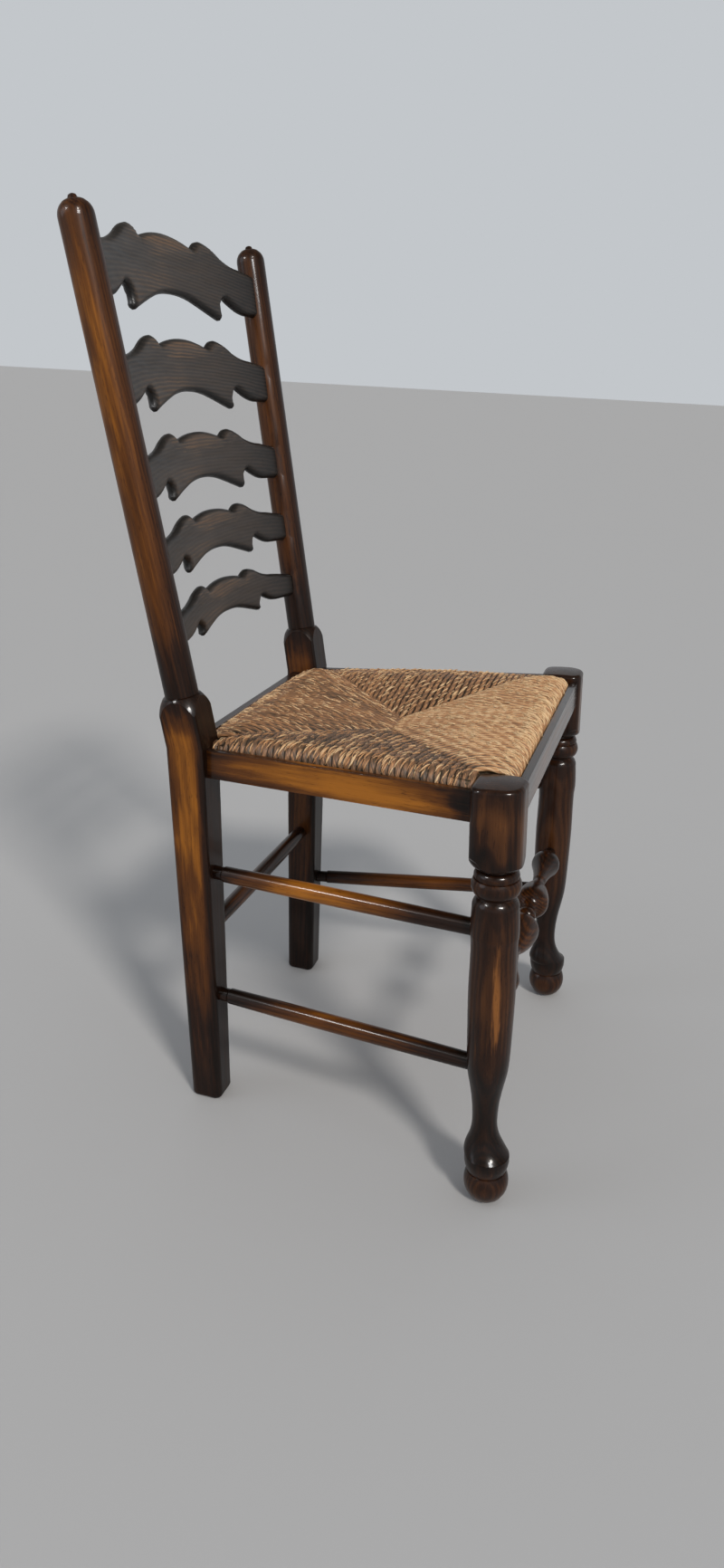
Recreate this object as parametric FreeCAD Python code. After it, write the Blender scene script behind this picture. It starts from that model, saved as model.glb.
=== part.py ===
import FreeCAD, Part
import math
import os

# Ladderback dining chair with a drop-in rush seat. Lengths are in millimetres, angles in degrees.
#
# The chair is drawn square to its seat: x to the sitter's left, y to the rear, z square to the seat,
# with the front leg axes upright on y = 0. It is then leaned back by SEAT_SLOPE onto the floor and
# moved so that the middle of its outline on the floor is the origin.
#
# Profiles of turned work are lists of (radius, height) points. Three points in a row of their own are
# an arc through them.

# Stance
SEAT_SLOPE = 3.55
FRONT_SPREAD = 434.0
JOINT_GAP = 0.1
HOLE_END_GAP = 0.3

# Front legs: square block with its own rounding at each corner (+x+y, -x+y, -x-y, +x-y)
BLOCK_SIZE = 50.0
BLOCK_TOP = 478.0
BLOCK_CROWN = 260.0
BLOCK_CORNERS = (12.0, 5.5, 13.0, 20.0)
BLOCK_TOP_ROUND = 4.5
NECK_HEIGHT = 391.0
NECK_RADIUS = 17.5
BLOCK_SHOULDER = (((17.5, 0.5), (25.2, 4.6), (28.6, 12.0)), (36.0, 24.0), (60.0, 40.0))

# Front legs: beads under the block, with heights from the neck, and the shaft's top below it
SHAFT_TOP_DROP = 71.0
SHAFT_TOP_RADIUS = 24.2
NECK_BEADS = (((24.2, -71.0), (24.0, -55.0), (23.2, -42.0)), ((23.2, -42.0), (22.0, -35.0), (18.6, -30.6)),
              (18.6, -29.4), ((18.6, -29.4), (24.2, -21.0), (22.6, -10.6)), (21.2, -10.0), (21.2, -8.8),
              ((22.2, -8.2), (20.9, -3.0), (17.5, -0.6)))

# Front legs: shaft as (share of its height, radius, share of the ankle's offset)
SHAFT = ((1.0, 24.2, 0.0), (0.78, 23.7, 0.20), (0.563, 22.9, 0.42), (0.437, 21.9, 0.58),
         (0.354, 19.3, 0.70), (0.293, 16.4, 0.80), (0.232, 14.3, 0.90), (0.171, 13.3, 0.97),
         (0.118, 13.8, 1.0), (0.076, 16.4, 1.0), (0.042, 19.9, 0.92), (0.0, 23.8, 0.1))
ANKLE_OFFSET = 4.4
PAD_RADIUS = 23.8
PAD_HEIGHT = 57.0
FOOT_TURNING = (((23.8, 57.0), (23.7, 48.0), (21.0, 38.6)), (20.2, 38.2), (20.2, 37.0), (21.0, 36.6),
                ((21.0, 36.6), (24.0, 22.5), (17.2, 5.6)))
FOOT_BALL_END = (17.2, 7.2)

# Seat rails, which meet the leg blocks and the posts a little inside their outer faces
RAIL_DROP = 9.0
RAIL_HEIGHT = 31.0
RAIL_THICKNESS = 22.0
RAIL_LIP = 8.0
BACK_RAIL_LIP = 10.0
RAIL_REBATE = 15.5
FRONT_RAIL_SETBACK = 4.0
BACK_RAIL_SETBACK = 8.8
SIDE_RAIL_SETBACK_FRONT = 15.4
SIDE_RAIL_SETBACK_REAR = 9.9
RAIL_TENON_THICKNESS = 9.0
RAIL_TENON_MARGIN = 2.0
RAIL_TENON_DEPTH = 15.0
BACK_TENON_DEPTH = 12.0
CROSS_TENON_SETBACK = 6.0
RAIL_TOP = BLOCK_TOP - RAIL_DROP

# Rear posts: axis points at the foot, the knee and the tip
POST_FOOT = (157.0, 352.0, 0.0)
POST_KNEE = (172.5, 337.0, RAIL_TOP + 1.0)
POST_RISE = 517.6
POST_TIP = (196.0, 406.3, RAIL_TOP + POST_RISE)
POST_FOOT_SIZE = 37.4
POST_KNEE_SIZE = 42.6
POST_FOOT_EDGE = 9.0
POST_KNEE_EDGE = 3.6
POST_FOOT_ROUND = 5.0
POST_RADIUS = 17.8
POST_TOP_RADIUS = 16.9
POST_SHOULDER = 56.0
SHOULDER_TURNING = ((31.0, -51.0), (29.8, -29.0), ((29.8, -29.0), (26.0, -11.6), (20.0, -1.4)))
FINIAL_START = 19.6
FINIAL_TURNING = (((16.9, -19.6), (14.9, -11.0), (10.0, -5.8)), ((10.0, -5.8), (7.8, -4.7), (4.9, -4.1)),
                  (3.6, -1.3))
FINIAL_BUTTON = (3.6, 1.3)

# Slats, from the top one down: height of the lowest points over the rails, overall height, and width
# of the pattern against the top one's
SLAT_LIFTS = (429.5, 333.0, 243.5, 167.5, 97.5)
SLAT_HEIGHTS = (79.0, 72.5, 66.0, 58.0, 51.0)
SLAT_WIDTHS = (1.0, 0.945, 0.89, 0.835, 0.78)
SLAT_THICKNESS = 12.0
SLAT_BOW = 18.0
SLAT_BOW_PAST_KNEE = 5.5
SLAT_TENON_THICKNESS = 7.0
SLAT_TENON_DEPTH = 4.0
SLAT_TENON_SHOULDER = 5.0
PEG_RADIUS = 2.5
PEG_LENGTH = 26.0
PEG_SETBACK = 3.5

# Slats: half of the top slat's outline as (x, height), first its upper edge and then its lower one
SLAT_UPPER = (((0.0, 82.3), (33.0, 79.6), (61.0, 72.8)), ((61.0, 72.8), (74.5, 80.4), (92.0, 80.4)),
              ((92.0, 80.4), (122.5, 68.6), (158.0, 58.2)))
SLAT_ENDS = ((230.0, 43.0), (230.0, 3.0))
SLAT_LOWER = (((152.0, 8.4), (133.3, 15.6), (116.0, 25.4)), ((116.0, 25.4), (104.2, 18.0), (102.2, 9.0)),
              ((102.2, 9.0), (103.0, 3.6), (99.0, 0.6)), ((99.0, 0.6), (77.0, 6.2), (56.0, 13.8)),
              ((56.0, 13.8), (30.0, 20.6), (0.0, 23.2)))

# Stretchers: heights of their axes, and the plain ones' radii
UPPER_STRETCHER = 322.5
LOWER_STRETCHER = 164.5
BACK_STRETCHER = 239.5
FRONT_STRETCHER = 231.0
STRETCHER_END = 9.0
STRETCHER_MIDDLE = 9.8
STRETCHER_NECK = 7.8
STRETCHER_NECK_LENGTH = 32.0
STRETCHER_TENON = 20.0
STRETCHER_STOP = 6.0
FRONT_STRETCHER_NECK = 7.0
FRONT_STRETCHER_TURNING = (
    (11.0, 0.0), ((11.0, 0.0), (10.0, 4.2), (7.6, 7.0)), (7.2, 14.0),
    ((7.2, 14.0), (9.4, 20.5), (15.2, 24.5)), ((15.2, 24.5), (19.4, 31.0), (20.4, 40.0)),
    ((20.4, 40.0), (16.2, 63.0), (8.4, 84.0)), ((8.4, 84.0), (7.2, 91.0), (8.2, 98.0)),
    ((8.2, 98.0), (11.2, 122.0), (16.6, 144.0)), ((16.6, 144.0), (17.8, 155.0), (12.8, 168.0)),
    ((12.8, 168.0), (9.6, 174.0), (8.6, 182.0)), (7.0, 183.0))

# Drop-in seat, with its heights over the rails
SEAT_GAP = 1.5
RUSH_THICKNESS = 5.5
RUSH_RISE = 13.0
RUSH_SEAM_DROP = 6.0
RUSH_DISH = 25.0
RUSH_CREST_INSET = 16.0
RUSH_ROLL = 11.0
RUSH_RIDGE_HALF = 24.0
RUSH_PUFF = 5.0
RUSH_SAG = 8.0
RUSH_LEDGE = 15.0
BAR_THICKNESS = 12.0
SIDE_BAR_WIDTH = 45.0
END_BAR_WIDTH = 42.0
CORNER_BLOCK_LEG = 78.0
CORNER_BLOCK_DROP = 4.0
SCREW_RADIUS = 2.0
SCREW_HEAD_RADIUS = 4.0
SCREW_HEAD_GAP = 0.4
SCREW_LENGTH = 34.0
SCREW_SINK = 5.0
SCREW_SLOT = 1.0

V = FreeCAD.Vector
UP = (0.0, 0.0, 1.0)
ACROSS = (1.0, 0.0, 0.0)
LEG_X = FRONT_SPREAD / 2
BLOCK_HALF = BLOCK_SIZE / 2
KNEE_HALF = POST_KNEE_SIZE / 2
KNEE_FRONT = POST_KNEE[1] - KNEE_HALF
SHAFT_TOP = NECK_HEIGHT - SHAFT_TOP_DROP
RAIL_BOTTOM = RAIL_TOP - RAIL_HEIGHT
LEDGE = RAIL_TOP - RAIL_REBATE
FRONT_RAIL_FACE = FRONT_RAIL_SETBACK - BLOCK_HALF
BACK_RAIL_FACE = POST_KNEE[1] + KNEE_HALF - BACK_RAIL_SETBACK
SIDE_RAIL_FRONT = LEG_X + BLOCK_HALF - SIDE_RAIL_SETBACK_FRONT
SIDE_RAIL_REAR = POST_KNEE[0] + KNEE_HALF - SIDE_RAIL_SETBACK_REAR
SEAT_FRONT = FRONT_RAIL_FACE + RAIL_LIP + SEAT_GAP
SEAT_BACK = BACK_RAIL_FACE - BACK_RAIL_LIP - SEAT_GAP
SEAT_SIDE = RAIL_LIP + SEAT_GAP
RUSH_CREST = RAIL_TOP + RUSH_RISE
BAR_BOTTOM = LEDGE + RUSH_THICKNESS
PAST = BLOCK_SIZE * 2


def between(a, b, share):
    """Point this share of the way from a to b."""
    return V(*a) + (V(*b) - V(*a)) * share


def mirrored(shape):
    """The same shape on the sitter's other side."""
    return shape.mirror(V(0, 0, 0), V(1, 0, 0))


def main_solid(shape):
    """Largest solid of a shape that a cut has left in pieces."""
    return max(shape.Solids, key=lambda solid: solid.Volume)


def box(x0, x1, y0, y1, z0, z1):
    """Box between these limits."""
    return Part.makeBox(x1 - x0, y1 - y0, z1 - z0, V(x0, y0, z0))


def polygon_prism(points, z0, z1):
    """Upright prism on a plan of (x, y) points."""
    ring = [V(x, y, z0) for x, y in points]
    wire = Part.makePolygon(ring + [ring[0]])
    return Part.Face(wire).extrude(V(0, 0, z1 - z0))


def rounded_square(centre, size, radii):
    """Level wire of a square with its own corner radius at each corner: +x+y, -x+y, -x-y, +x-y."""
    half = size / 2
    arcs = []
    for (sx, sy), r in zip(((1, 1), (-1, 1), (-1, -1), (1, -1)), radii):
        middle = V(centre[0] + sx * (half - r), centre[1] + sy * (half - r), centre[2])
        first = math.atan2(sy, sx) - math.pi / 4
        angles = [first + k * math.pi / 4 for k in range(3)]
        arcs.append([middle + V(r * math.cos(a), r * math.sin(a), 0) for a in angles])
    edges = []
    for k, arc in enumerate(arcs):
        edges.append(Part.Arc(*arc).toShape())
        edges.append(Part.makeLine(arc[2], arcs[(k + 1) % 4][0]))
    return Part.Wire(edges)


def shifted(profile, rise):
    """The same profile, moved along its axis."""
    moved = []
    for item in profile:
        if isinstance(item[0], tuple):
            moved.append(tuple((r, z + rise) for r, z in item))
        else:
            moved.append((item[0], item[1] + rise))
    return moved


def turned(profile, base, direction):
    """Solid of revolution of a closed profile, about the axis through base."""
    edges = []
    last = None
    for item in profile:
        points = [V(r, 0, z) for r, z in (item if isinstance(item[0], tuple) else (item,))]
        if last is not None and (last - points[0]).Length > 1e-6:
            edges.append(Part.makeLine(last, points[0]))
        if len(points) == 3:
            edges.append(Part.Arc(*points).toShape())
        last = points[-1]
    edges.append(Part.makeLine(last, edges[0].Vertexes[0].Point))
    solid = Part.Face(Part.Wire(edges)).revolve(V(0, 0, 0), V(0, 0, 1), 360)
    turn = FreeCAD.Rotation(V(0, 0, 1), V(*direction))
    solid.Placement = FreeCAD.Placement(V(*base), turn)
    return solid


def dome(radius, drop, top):
    """Arc of a round cap that ends on the axis at this height, from the rim that lies drop below it."""
    sphere = (radius ** 2 + drop ** 2) / (2 * abs(drop))
    part_way = radius * 0.6
    fall = sphere - math.sqrt(sphere ** 2 - part_way ** 2)
    return ((radius, top - drop), (part_way, top - math.copysign(fall, drop)), (0.0, top))


def front_leg():
    """Front leg on the sitter's left: a square block, turned beads, an offset shaft and a ball foot."""
    low = rounded_square((LEG_X, 0, NECK_HEIGHT), BLOCK_SIZE, BLOCK_CORNERS)
    block = Part.Face(low).extrude(V(0, 0, BLOCK_TOP - NECK_HEIGHT + BLOCK_SIZE / 5))
    crown = Part.makeSphere(BLOCK_CROWN, V(LEG_X, 0, BLOCK_TOP - BLOCK_CROWN))
    top = BLOCK_TOP + BLOCK_SIZE
    shoulder = turned([(0, NECK_HEIGHT), (NECK_RADIUS, NECK_HEIGHT)] + shifted(BLOCK_SHOULDER, NECK_HEIGHT)
                      + [(BLOCK_SHOULDER[-1][0], top), (0, top)], (LEG_X, 0, 0), UP)
    block = block.common(shoulder).common(crown)
    rim = BLOCK_TOP - BLOCK_SIZE ** 2 / BLOCK_CROWN
    top_edges = [e for e in block.Edges if min(v.Z for v in e.Vertexes) > rim and e.Length > 1]
    block = block.makeFillet(BLOCK_TOP_ROUND, top_edges)
    beads = turned([(0, SHAFT_TOP), (SHAFT_TOP_RADIUS, SHAFT_TOP)] + shifted(NECK_BEADS, NECK_HEIGHT)
                   + [(NECK_RADIUS, NECK_HEIGHT + 1), (0, NECK_HEIGHT + 1)], (LEG_X, 0, 0), UP)
    rings = []
    for share, radius, lean in SHAFT:
        z = PAD_HEIGHT + share * (SHAFT_TOP - PAD_HEIGHT)
        rings.append(Part.Wire(Part.makeCircle(radius, shaft_centre(lean, z))))
    shaft = Part.makeLoft(rings, True, False)
    radius, rise = FOOT_BALL_END
    foot = turned([(0, PAD_HEIGHT), (PAD_RADIUS, PAD_HEIGHT)] + list(FOOT_TURNING)
                  + [dome(radius, -rise, FOOT_TURNING[-1][-1][1] - rise)], (LEG_X, 0, 0), UP)
    return block.fuse([beads, shaft, foot]).removeSplitter()


def shaft_centre(lean, z):
    """Centre of the left front leg's shaft where this share of the ankle's offset has come in."""
    return V(LEG_X - ANKLE_OFFSET * lean, ANKLE_OFFSET * lean, z)


def shaft_axis(z):
    """Centre of the left front leg's shaft at this height, where a stretcher meets it."""
    share = (z - PAD_HEIGHT) / (SHAFT_TOP - PAD_HEIGHT)
    for upper, lower in zip(SHAFT, SHAFT[1:]):
        if share >= lower[0]:
            part = (share - upper[0]) / (lower[0] - upper[0])
            return shaft_centre(max(0.0, upper[2] + (lower[2] - upper[2]) * part), z)
    return shaft_centre(0.0, z)


def rear_post():
    """Rear post on the sitter's left, in one piece from the square foot to the finial."""
    lean = V(*POST_TIP) - V(*POST_KNEE)
    tip = lean.Length
    block_top = between(POST_KNEE, POST_TIP, POST_SHOULDER * 1.25 / tip)
    below = between(POST_KNEE, POST_FOOT, 1.02)
    sections = [rounded_square(below, POST_FOOT_SIZE, (POST_FOOT_EDGE,) * 4),
                rounded_square(POST_KNEE, POST_KNEE_SIZE, (POST_KNEE_EDGE,) * 4),
                rounded_square(block_top, POST_KNEE_SIZE, (POST_KNEE_EDGE,) * 4)]
    block = Part.makeLoft(sections, True, True)
    far_below = -POST_KNEE[2] - PAST
    far_out = PAST * 2
    low_rim = POST_SHOULDER + SHOULDER_TURNING[0][1]
    shoulder = turned([(0, far_below), (far_out, far_below), (far_out, low_rim)]
                      + shifted(SHOULDER_TURNING, POST_SHOULDER)
                      + [(POST_RADIUS - 1, POST_SHOULDER), (0, POST_SHOULDER)], POST_KNEE, lean)
    block = block.common(shoulder)
    root = POST_SHOULDER / 2
    top = turned([(0, root), (POST_RADIUS, root), (POST_TOP_RADIUS, tip - FINIAL_START)]
                 + shifted(FINIAL_TURNING, tip) + [dome(*FINIAL_BUTTON, tip)], POST_KNEE, lean)
    return block.fuse(top).removeSplitter()


def post_point(z):
    """Point on the left post's axis below the seat, at this height."""
    return between(POST_FOOT, POST_KNEE, z / POST_KNEE[2])


def slat_seat(index):
    """Point on the left post's raked axis level with a slat's lowest points, and the height of those."""
    tip = RAIL_TOP + SLAT_LIFTS[index]
    return between(POST_KNEE, POST_TIP, (tip - POST_KNEE[2]) / (POST_TIP[2] - POST_KNEE[2])), tip


def slat_wire(index):
    """Closed outline of a slat in the plane y = 0, on from both ends into the posts."""
    width = SLAT_WIDTHS[index]
    tall = SLAT_HEIGHTS[index] / SLAT_HEIGHTS[0]
    runs = [[(x * width, z * tall) for x, z in arc] for arc in SLAT_UPPER]
    ends = [(x, z * tall) for x, z in SLAT_ENDS]
    lower = [[(x * width, z * tall) for x, z in arc] for arc in SLAT_LOWER]
    runs += [[runs[-1][-1], ends[0]], ends, [ends[1], lower[0][0]]] + lower
    edges = []
    for run in runs:
        for side in (1, -1):
            points = [V(side * x, 0, z) for x, z in run]
            edges.append(Part.Arc(*points).toShape() if len(points) == 3 else Part.makeLine(*points))
    return Part.Wire(Part.__sortEdges__(edges))


def slat_tenons(index, grow):
    """Tenons at a slat's two ends; grow widens them to the mortises that take them."""
    seat, _ = slat_seat(index)
    tall = SLAT_HEIGHTS[index] / SLAT_HEIGHTS[0]
    low = SLAT_LOWER[0][0][1] * tall + SLAT_TENON_SHOULDER - grow
    high = SLAT_UPPER[-1][-1][1] * tall - SLAT_TENON_SHOULDER * 2 + grow
    w = SLAT_TENON_THICKNESS / 2 + grow
    inner = seat.x - POST_RADIUS - SLAT_TENON_DEPTH
    outer = seat.x + SLAT_TENON_DEPTH + grow
    return [box(inner, outer, -w, w, low, high), box(-outer, -inner, -w, w, low, high)]


def slat(index):
    """A bowed slat, its tenons, and the mortise shapes that the posts are cut with."""
    seat, tip = slat_seat(index)
    rake = math.degrees(math.atan2(POST_TIP[1] - POST_KNEE[1], POST_TIP[2] - POST_KNEE[2]))
    room = (SLAT_BOW + SLAT_THICKNESS) * 2
    plate = Part.Face(slat_wire(index)).extrude(V(0, room * 2, 0))
    plate.translate(V(0, -room, 0))
    half = POST_KNEE[0] + SLAT_BOW_PAST_KNEE
    radius = (half ** 2 + SLAT_BOW ** 2) / (2 * SLAT_BOW)
    tall = SLAT_HEIGHTS[0] * 2
    base = V(0, SLAT_BOW - radius, -tall / 4)
    outer = Part.makeCylinder(radius + SLAT_THICKNESS / 2, tall, base)
    bow = outer.cut(Part.makeCylinder(radius - SLAT_THICKNESS / 2, tall, base))
    body = plate.common(bow)
    tenons = slat_tenons(index, 0)
    mortises = slat_tenons(index, JOINT_GAP)
    place = FreeCAD.Placement(V(0, seat.y, tip), FreeCAD.Rotation(V(1, 0, 0), -rake))
    for shape in [body] + tenons + mortises:
        shape.Placement = place.multiply(shape.Placement)
    return body, tenons, mortises


def all_slats(posts):
    """The five slats, fitted to the posts, and the mortises for their tenons."""
    reach = POST_TIP[0]
    room = box(-reach, reach, 0, POST_TIP[1] + PAST, RAIL_TOP, POST_TIP[2] + PAST)
    slats = []
    mortises = []
    for index in range(len(SLAT_LIFTS)):
        body, tenons, cuts = slat(index)
        body = main_solid(body.common(room).cut(posts))
        slats.append(body.fuse(tenons).removeSplitter())
        mortises += cuts
    return slats, mortises


def slat_pegs():
    """Pegs through the posts and the tenons of the top and bottom slats, from behind, and their holes."""
    rake = (V(0, POST_TIP[1], POST_TIP[2]) - V(0, POST_KNEE[1], POST_KNEE[2])).normalize()
    square_off = V(0, rake.z, -rake.y)
    pegs = []
    holes = []
    for index in (0, len(SLAT_LIFTS) - 1):
        seat, tip = slat_seat(index)
        tall = SLAT_HEIGHTS[index] / SLAT_HEIGHTS[0]
        low = SLAT_LOWER[0][0][1] + SLAT_TENON_SHOULDER
        high = SLAT_UPPER[-1][-1][1] - SLAT_TENON_SHOULDER * 2
        centre = V(seat.x - PEG_SETBACK, seat.y, tip) + rake * (tall * (low + high) / 2)
        start = centre - square_off * (PEG_LENGTH - POST_RADIUS)
        peg = Part.makeCylinder(PEG_RADIUS, PEG_LENGTH, start, square_off)
        pegs.append(peg)
        start = start - square_off * HOLE_END_GAP
        holes.append(Part.makeCylinder(PEG_RADIUS + JOINT_GAP / 2, PEG_LENGTH * 2, start, square_off))
    return pegs, holes


def side_x(y, inside=0.0):
    """x at depth y of a line along the left side rail's outer face, this far inside it."""
    slope = (SIDE_RAIL_REAR - SIDE_RAIL_FRONT) / (KNEE_FRONT - BLOCK_HALF)
    return SIDE_RAIL_FRONT + slope * (y - BLOCK_HALF) - inside * math.hypot(1, slope)


def side_strip(y0, y1, outside, inside):
    """Plan of a strip along the left side rail, between two distances inside its outer face."""
    return [(side_x(y0, outside), y0), (side_x(y1, outside), y1), (side_x(y1, inside), y1),
            (side_x(y0, inside), y0)]


def side_rail():
    """Blank of the left side rail, rebated for the seat, before it is fitted to the leg and the post."""
    y0, y1 = 0.0, POST_KNEE[1]
    rail = polygon_prism(side_strip(y0, y1, 0, RAIL_THICKNESS), RAIL_BOTTOM, RAIL_TOP)
    over = side_strip(y0 - 5, y1 + 5, RAIL_LIP, RAIL_THICKNESS + 5)
    return rail.cut(polygon_prism(over, LEDGE, RAIL_TOP + 5))


def cross_rail(face, lip, inward, reach):
    """Blank of the front or back rail, rebated for the seat, reaching this far to each side."""
    y0, y1 = sorted((face, face + inward * RAIL_THICKNESS))
    rail = box(-reach, reach, y0, y1, RAIL_BOTTOM, RAIL_TOP)
    s0, s1 = sorted((face + inward * lip, face + inward * (RAIL_THICKNESS + 5)))
    return rail.cut(box(-reach - 5, reach + 5, s0, s1, LEDGE, RAIL_TOP + 5))


def rail_tenons(grow):
    """Tenons at the left ends of the rails, under their rebates; grow widens them to their mortises."""
    z0 = RAIL_BOTTOM + RAIL_TENON_MARGIN
    z1 = LEDGE - RAIL_TENON_MARGIN
    half = RAIL_TENON_THICKNESS / 2
    root = RAIL_TENON_THICKNESS

    def tenon(x0, x1, y0, y1):
        return box(x0 - grow, x1 + grow, y0 - grow, y1 + grow, z0 - grow, z1 + grow)

    front_x = side_x(BLOCK_HALF, RAIL_THICKNESS / 2)
    rear_x = side_x(KNEE_FRONT, RAIL_THICKNESS / 2)
    side = [tenon(front_x - half, front_x + half, BLOCK_HALF - RAIL_TENON_DEPTH, BLOCK_HALF + root),
            tenon(rear_x - half, rear_x + half, KNEE_FRONT - root, KNEE_FRONT + RAIL_TENON_DEPTH)]
    y = FRONT_RAIL_FACE + CROSS_TENON_SETBACK
    x = LEG_X - BLOCK_HALF
    front = [tenon(x - root, x + RAIL_TENON_DEPTH, y, y + 2 * half)]
    y = BACK_RAIL_FACE - CROSS_TENON_SETBACK
    x = POST_KNEE[0] - KNEE_HALF
    back = [tenon(x - root, x + BACK_TENON_DEPTH, y - 2 * half, y)]
    return side, front, back


def seat_rails(uprights):
    """Left side rail, front rail and back rail with their tenons, and the mortises for the left ends."""
    side, front, back = rail_tenons(0)
    side_left = main_solid(side_rail().cut(uprights)).fuse(side).removeSplitter()
    blank = cross_rail(FRONT_RAIL_FACE, RAIL_LIP, 1, LEG_X)
    front_rail = main_solid(blank.cut(uprights)).fuse(front + [mirrored(s) for s in front])
    blank = cross_rail(BACK_RAIL_FACE, BACK_RAIL_LIP, -1, POST_KNEE[0])
    back_rail = main_solid(blank.cut(uprights)).fuse(back + [mirrored(s) for s in back])
    mortises = [cut for group in rail_tenons(JOINT_GAP) for cut in group]
    return side_left, front_rail, back_rail, mortises


def round_mortise(end, inward, radius):
    """Blind hole for a round tenon that ends at this point; inward points out of the hole."""
    way = V(*inward).normalize()
    return Part.makeCylinder(radius, PAST / 2, end - way * HOLE_END_GAP, way)


def side_stretcher(z):
    """Left side stretcher at this height, and its holes in the post and the leg."""
    rear = post_point(z)
    front = shaft_axis(z) + V(0, STRETCHER_STOP, 0)
    along = front - rear
    length = along.Length
    neck = STRETCHER_NECK_LENGTH
    shoulder = length - STRETCHER_TENON
    swell = ((STRETCHER_END, neck + 2), (STRETCHER_MIDDLE, (neck + shoulder) / 2), (STRETCHER_END, shoulder))
    bar = turned([(0, 0), (STRETCHER_NECK, 0), (STRETCHER_NECK, neck), swell, (STRETCHER_END, length),
                  (0, length)], rear, along)
    return (bar, round_mortise(rear, along, STRETCHER_NECK + JOINT_GAP),
            round_mortise(front, along * -1, STRETCHER_END + JOINT_GAP))


def back_stretcher():
    """Back stretcher, and its hole in the left post."""
    end = post_point(BACK_STRETCHER)
    half = end.x
    neck = half - STRETCHER_NECK_LENGTH
    swell = ((STRETCHER_END, 2 - neck), (STRETCHER_MIDDLE, 0), (STRETCHER_END, neck - 2))
    bar = turned([(0, -half), (STRETCHER_NECK, -half), (STRETCHER_NECK, -neck), swell, (STRETCHER_NECK, neck),
                  (STRETCHER_NECK, half), (0, half)], (0, end.y, end.z), ACROSS)
    return bar, round_mortise(end, (-1, 0, 0), STRETCHER_NECK + JOINT_GAP)


def front_stretcher():
    """Turned front stretcher, and its hole in the left leg."""
    end = shaft_axis(FRONT_STRETCHER) - V(STRETCHER_STOP, 0, 0)
    profile = [(0, 0)] + list(FRONT_STRETCHER_TURNING) + [(FRONT_STRETCHER_NECK, end.x), (0, end.x)]
    half = turned(profile, (0, end.y, end.z), ACROSS)
    bar = half.fuse(mirrored(half)).removeSplitter()
    return bar, round_mortise(end, (-1, 0, 0), FRONT_STRETCHER_NECK + JOINT_GAP)


def arc_over(p, q, lift):
    """Arc in a plane of constant x from p to q, whose middle stands this far above their chord."""
    across = V(0, -(q - p).z, (q - p).y)
    across.normalize()
    if across.z < 0:
        across = across * -1
    return Part.Arc(p, (p + q) * 0.5 + across * lift, q).toShape()


def rush_section(x):
    """Section of the rush at this x: two rolled edges, two sunk seams and a sagging underside.

    share is 0 at the seat's middle and 1 at its corners. The seams rise and draw apart with it.
    """
    middle = (SEAT_FRONT + SEAT_BACK) / 2
    shares = []
    for y in (SEAT_FRONT, SEAT_BACK):
        corner = side_x(y, SEAT_SIDE)
        shares.append(min(1.0, max(0.0, (abs(x) - RUSH_RIDGE_HALF) / (corner - RUSH_RIDGE_HALF))))
    crests = [RUSH_CREST - RUSH_SEAM_DROP * share ** 3 for share in shares]
    low = RUSH_CREST - RUSH_DISH
    seams = [low + (RUSH_DISH - RUSH_SEAM_DROP) * min(1.0, 1.25 * share) for share in shares]
    seams = [min(z, crest - 0.3) for z, crest in zip(seams, crests)]
    front_run = middle - SEAT_FRONT - RUSH_CREST_INSET
    back_run = SEAT_BACK - RUSH_CREST_INSET - middle

    a = V(x, SEAT_FRONT, LEDGE)
    b = V(x, SEAT_FRONT, crests[0] - RUSH_ROLL)
    c = V(x, SEAT_FRONT + RUSH_CREST_INSET, crests[0])
    d = V(x, middle - max(2.0, front_run * shares[0]), seams[0])
    e = V(x, middle + max(2.0, back_run * shares[1]), seams[1])
    f = V(x, SEAT_BACK - RUSH_CREST_INSET, crests[1])
    g = V(x, SEAT_BACK, crests[1] - RUSH_ROLL)
    h = V(x, SEAT_BACK, LEDGE)
    i = V(x, SEAT_BACK - RUSH_LEDGE, LEDGE)
    j = V(x, SEAT_FRONT + RUSH_LEDGE, LEDGE)
    roll = RUSH_ROLL * 0.24
    front_puff = RUSH_PUFF * min(1.0, (d.y - c.y) / 60 + 0.06)
    side_puff = RUSH_PUFF * min(1.0, (e.y - d.y) / 80) + 0.2
    back_puff = RUSH_PUFF * min(1.0, (f.y - e.y) / 60 + 0.06)
    flat_from = rush_flat_from()
    if abs(x) < flat_from:
        sag = RUSH_SAG * (1 - abs(x) / flat_from) ** 0.8
        underside = arc_over(i, j, -sag - 0.2)
    else:
        underside = Part.makeLine(i, j)
    return Part.Wire([Part.makeLine(a, b), arc_over(b, c, roll), arc_over(c, d, front_puff),
                      arc_over(d, e, side_puff), arc_over(e, f, back_puff), arc_over(f, g, roll),
                      Part.makeLine(g, h), Part.makeLine(h, i), underside, Part.makeLine(j, a)])


def rush_flat_from():
    """How far from the middle the rush's underside is flat, because the side rails' ledges carry it."""
    return side_x(SEAT_BACK, RAIL_THICKNESS)


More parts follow.
